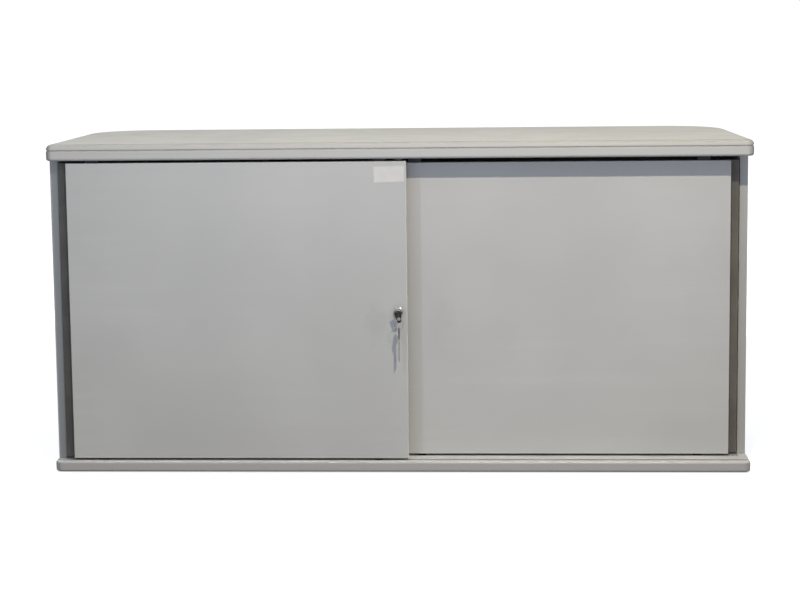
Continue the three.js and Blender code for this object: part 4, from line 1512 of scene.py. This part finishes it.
@dataclass
class Keys:
    """The folding key in the lock, the ring and the spare key on it."""

    lean: float = 8.0  # degrees
    half_width: float = 8.5 * MM
    top: float = 6.5 * MM
    shoulder: float = 1.0 * MM
    length: float = 22 * MM
    end_half_width: float = 3.5 * MM
    thickness: float = 2.4 * MM
    corner: float = 1.6 * MM
    edge: float = 0.5 * MM
    slot_half: float = 1.5 * MM
    slot_end: float = 5.5 * MM
    pin_radius: float = 0.8 * MM
    hole_distance: float = 13.2 * MM
    hole_radius: float = 3.9 * MM
    hole_steps: int = 32
    ring_turn: float = 40.0  # degrees
    ring_wire: float = 0.6 * MM
    ring_inset: float = 0.9 * MM
    ring_turns: float = 1.96
    ring_pitch: float = 2.06  # wire radii
    ring_crease: float = 60.0  # degrees
    shank_edge: float = 0.25 * MM

    def build(self, lock: Vector) -> None:
        """Makes the keys and the ring.

        Args:
            lock: a point on the lock's axis.
        """
        plastic = KEY_PLASTIC.material("key_bow_plastic")
        nickel = DRAWN_NICKEL.material("key_nickel", lock)
        hinge = Vector((lock.x, centre_of("key_bow").y, lock.z))
        place = Matrix.Translation(hinge) @ Matrix.Rotation(math.radians(-self.lean), 4, "Y")
        bow = plate("folding_bow", [self._forked(), self._hole()], self.thickness, self.edge, place)
        dressed(bow, Body.KEY_BOW, Slot.BLACK_PLASTIC, plastic, "key_bow")
        dark = DARK_NICKEL.material("tang_nickel", lock)
        self._hinge_pin(place, dark)
        shank = finer_copy("key_shank", "key_blade", self.shank_edge)
        dressed(shank, Body.LOCK_PLUG, Slot.NICKEL, dark, "key_blade")
        self._ring()
        x, y, _ = centre_of("spare_key_bow")
        hang = Vector((x, y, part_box("spare_key_bow")[1].z - self.length))
        turn = Matrix.Rotation(math.pi / 2, 4, "Z") @ Matrix.Rotation(math.pi, 4, "Y")
        edgewise = Matrix.Translation(hang) @ turn
        spare = plate("spare_bow", [self._whole(), self._hole()], self.thickness, self.edge, edgewise)
        dressed(spare, Body.SPARE_KEY, Slot.BLACK_PLASTIC, plastic, "spare_key_bow")
        blade = finer_copy("spare_shank", "spare_key_blade", self.shank_edge)
        dressed(blade, Body.SPARE_KEY, Slot.NICKEL, nickel, "spare_key_blade")

    def _left_side(self) -> list[Point]:
        """Corners of the left side of a bow, from its shoulder down."""
        return [(-self.half_width, self.shoulder), (-self.half_width, -self.shoulder),
                (-self.end_half_width, -self.length)]

    def _forked(self) -> list[Point]:
        """Outline of a bow whose top is a fork for the tang."""
        left = self._left_side()
        right = [(-x, z) for x, z in reversed(left)]
        share = self.slot_half / self.half_width
        fork = self.top - (self.top - self.shoulder) * share
        corners = [(-self.slot_half, fork), *left, *right, (self.slot_half, fork)]
        slot = [(self.slot_half, -self.slot_end), (-self.slot_half, -self.slot_end)]
        return rounded([*corners, *slot], self.corner)

    def _whole(self) -> list[Point]:
        """Outline of a bow without a fork."""
        left = self._left_side()
        return rounded([(0.0, self.top), *left, *[(-x, z) for x, z in reversed(left)]], self.corner)

    def _hole(self) -> list[Point]:
        """Outline of the hole for the ring."""
        angles = [2 * math.pi * step / self.hole_steps for step in range(self.hole_steps)]
        return [(self.hole_radius * math.cos(a), self.hole_radius * math.sin(a) - self.hole_distance)
                for a in angles]

    def _hinge_pin(self, place: Matrix, nickel: Finish) -> None:
        """Makes the pin that the bow folds on.

        Args:
            place: where the bow is.
            nickel: its finish.
        """
        build = bmesh.new()
        reach = self.slot_half + self.pin_radius
        ends = [place @ Vector((x, 0, 0)) for x in (-reach, reach)]
        add_bar(build, self.pin_radius, *ends, sides=PIN_SIDES)
        dressed(shaded(as_piece("bow_hinge_pin", build)), Body.KEY_BOW, Slot.NICKEL, nickel)

    def _ring(self) -> None:
        """Makes the split ring by rule, in the plane of its CAD node."""
        low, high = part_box("key_ring")
        middle, outer, wire = centre_of("key_ring"), (high.z - low.z) / 2, self.ring_wire / 2
        finish = DRAWN_STEEL.material("ring_steel", middle)
        ring = as_piece("split_ring", bmesh.new())
        ruled(ring, RULES.coil, Radius=outer - self.ring_inset, Wire=wire, Turns=self.ring_turns,
              Height=self.ring_pitch * wire * self.ring_turns, Finish=finish)
        turn = Matrix.Rotation(math.radians(self.ring_turn), 4, "Z") @ Matrix.Rotation(math.pi / 2, 4, "X")
        ring.data.transform(Matrix.Translation(middle) @ turn)
        dressed(shaded(ring, self.ring_crease), Body.KEY_RING, Slot.STEEL, finish, "key_ring")


@dataclass
class Label:
    """A small blank paper label near the top of the front door."""

    width: float = 70 * MM
    height: float = 37 * MM
    thickness: float = 0.16 * MM
    lift: float = 0.5 * MM
    air: float = 0.02 * MM
    flat_share: float = 0.86  # of the way to a corner
    tilt: float = 2.5  # degrees
    columns: int = 36
    rows: int = 18

    def build(self) -> None:
        """Makes the sheet with its corners slightly lifted."""
        middle = centre_of("label")
        build = bmesh.new()
        bmesh.ops.create_grid(build, x_segments=self.columns, y_segments=self.rows, size=0.5)
        turn = Matrix.Rotation(math.radians(-self.tilt), 4, "Y")
        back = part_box("label")[1].y - self.air
        for vertex in build.verts:
            x, z = vertex.co.x, vertex.co.y
            corner = max(0.0, abs(x) + abs(z) - self.flat_share) / (1 - self.flat_share)
            vertex.co = turn @ Vector((x * self.width, -self.lift * corner ** 2, z * self.height))
            vertex.co += Vector((middle.x, back - self.thickness, middle.z))
        sheet = as_piece("paper_label", build)
        solid = sheet.modifiers.new("thickness", "SOLIDIFY")
        solid.thickness = self.thickness
        solid.offset = -1.0
        settled(sheet)
        finish = LABEL_PAPER.material("label_paper", "label")
        dressed(shaded(sheet), Body.FRONT_DOOR, Slot.PAPER, finish, "label")


@dataclass(frozen=True)
class Lamp:
    """A small lamp whose light doesn't fall off with distance."""

    name: str
    place: Place
    tint: Place
    power: float
    radius: float

    def build(self) -> None:
        """Makes the lamp."""
        lamp = bpy.data.lights.new(self.name, "POINT")
        lamp.energy = self.power
        lamp.color = self.tint
        lamp.shadow_soft_size = self.radius
        lamp.use_nodes = True
        graph = Graph(lamp.node_tree)
        even = graph.node("ShaderNodeLightFalloff", {"Strength": 1.0}).outputs["Constant"]
        graph.tree.links.new(even, graph.tree.nodes["Emission"].inputs["Strength"])
        placed = bpy.data.objects.new(self.name, lamp)
        placed.location = self.place
        bpy.context.scene.collection.objects.link(placed)


@dataclass(frozen=True)
class Softbox:
    """A soft rectangular light."""

    name: str
    place: Place
    size: Point
    aim: Place
    tint: Place
    power: float

    def build(self) -> None:
        """Makes the light, turned to what it aims at."""
        light = bpy.data.lights.new(self.name, "AREA")
        light.shape = "RECTANGLE"
        light.size, light.size_y = self.size
        light.energy = self.power
        light.color = self.tint
        placed = bpy.data.objects.new(self.name, light)
        placed.location = self.place
        placed.rotation_euler = (Vector(self.aim) - Vector(self.place)).to_track_quat("-Z", "Y").to_euler()
        bpy.context.scene.collection.objects.link(placed)


LIGHTS = (
    Lamp("warm_lamp", (0.53, -1.023, 1.49), (1.0, 0.882, 0.706), 27.6, 0.012),
    Lamp("cool_lamp", (-0.43, -0.838, 1.3), (0.727, 0.818, 1.0), 7.6, 0.015),
    Softbox("low_softbox", (0.1, -1.3, 0.69), (2.4, 0.15), (0.1, 0.0, 0.6), (0.707, 0.782, 1.0), 5.6),
    Softbox("rear_softbox", (-1.2, 2.8, 2.2), (2.0, 1.5), (0.0, 0.2, 0.4), (1.0, 1.0, 1.0), 5.0),
)


@dataclass
class Studio:
    """The sky, the floor, the lights and the camera."""

    focal_pixels: float = 1571.083
    image_width: float = 800
    sensor: float = 36.0
    pitch: float = 0.1016294
    yaw: float = -0.0443787
    roll: float = -0.0110846
    eye: Place = (0.1636398, -3.7927386, 1.0000063)
    shift: float = -0.13
    sky: Colour = (0.866, 0.929, 1.0, 1.0)
    sky_strength: float = 0.366
    backdrop_strength: float = 1.0
    floor_size: float = 60.0
    floor_colour: Colour = (0.8, 0.8, 0.8, 1.0)
    floor_bounce: Colour = (0.22, 0.22, 0.22, 1.0)
    floor_glow: float = 0.75
    floor_roughness: float = 0.9

    def build(self) -> None:
        """Makes them all, and shows their colours as they are."""
        self._world()
        self._floor()
        for light in LIGHTS:
            light.build()
        self._camera()
        bpy.context.scene.view_settings.view_transform = "Standard"

    def _world(self) -> None:
        """A plain sky that the camera sees white and the cabinet sees dimmer."""
        world = bpy.data.worlds.new("plain_sky")
        world.use_nodes = True
        bpy.context.scene.world = world
        graph = Graph(world.node_tree)
        world.node_tree.nodes.clear()
        light = graph.node("ShaderNodeBackground", {"Color": self.sky, "Strength": self.sky_strength})
        seen = graph.node("ShaderNodeBackground", {"Color": (1, 1, 1, 1), "Strength": self.backdrop_strength})
        straight = graph.node("ShaderNodeLightPath").outputs["Is Camera Ray"]
        mixed = graph.node("ShaderNodeMixShader", {0: straight, 1: light.outputs[0], 2: seen.outputs[0]})
        graph.node("ShaderNodeOutputWorld", {"Surface": mixed.outputs[0]})

    def _floor(self) -> None:
        """A wide pale floor under the glides."""
        build = bmesh.new()
        bmesh.ops.create_grid(build, x_segments=1, y_segments=1, size=self.floor_size / 2)
        floor = as_piece("studio_floor", build)
        paint = Paint("pale_floor")
        seen = paint.node("ShaderNodeLightPath").outputs["Is Camera Ray"]
        paint.wire("Base Color", paint.blend(seen, self.floor_bounce, self.floor_colour))
        paint.set(Roughness=self.floor_roughness, Specular_IOR_Level=0.0, Emission_Color=(1, 1, 1, 1))
        paint.wire("Emission Strength", paint.math("MULTIPLY", seen, self.floor_glow))
        floor.data.materials.append(paint.material)

    def _camera(self) -> None:
        """The camera at the photograph's place, turned as it was."""
        camera = bpy.data.cameras.new("camera")
        camera.sensor_width = self.sensor
        camera.lens = self.focal_pixels * self.sensor / self.image_width
        camera.shift_y = self.shift
        ahead = Vector((
            math.sin(self.yaw) * math.cos(self.pitch), math.cos(self.yaw) * math.cos(self.pitch),
            -math.sin(self.pitch)))
        level = Vector((math.cos(self.yaw), -math.sin(self.yaw), 0))
        rise = level.cross(ahead)
        right = math.cos(self.roll) * level + math.sin(self.roll) * rise
        up = math.cos(self.roll) * rise - math.sin(self.roll) * level
        placed = bpy.data.objects.new("camera", camera)
        matrix = Matrix((right, up, -ahead)).transposed().to_4x4()
        placed.matrix_world = Matrix.Translation(self.eye) @ matrix
        bpy.context.scene.collection.objects.link(placed)
        bpy.context.scene.camera = placed


HAND_DIRT = srgb(150, 148, 143)
FRONT_MARKS = (
    Mark((-0.050, -0.263, 0.345), (0.035, 0.1, 0.06), HAND_DIRT, 0.2),
    Mark((0.0, -0.263, 0.374), (0.024, 0.1, 0.024), HAND_DIRT, 0.35),
)
REAR_MARKS = (
    Mark((0.095, -0.222, 0.345), (0.045, 0.1, 0.07), HAND_DIRT, 0.12),
)


def main() -> None:
    """Builds the studio and every sub-assembly in order."""
    Studio().build()
    low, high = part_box("top_panel")
    plan = Plan(half_width=high.x, front=low.y, rear=high.y)
    TopBoards().build(plan)
    BaseBoards().build(plan)
    Carcass().build()
    lock, axis = Lock(), centre_of("lock_core")
    sleeve = lock.core_radius + lock.fit + lock.sleeve_wall
    Door("front", Body.FRONT_DOOR, -1, sleeve, lock.sleeve_depth, FRONT_MARKS).build(axis)
    Door("rear", Body.REAR_DOOR, 1, lock.strike_radius, lock.strike_depth, REAR_MARKS).build(axis)
    for end in ENDS:
        for side in SIDES:
            node = f"{end}_channel_stop_{side}"
            painted(node, STOP_RUBBER.material(f"{node}_rubber"))
    lock.build()
    Keys().build(axis)
    Label().build()


if __name__ == "__main__":
    logging.basicConfig(level=logging.INFO, format="%(message)s")
    main()
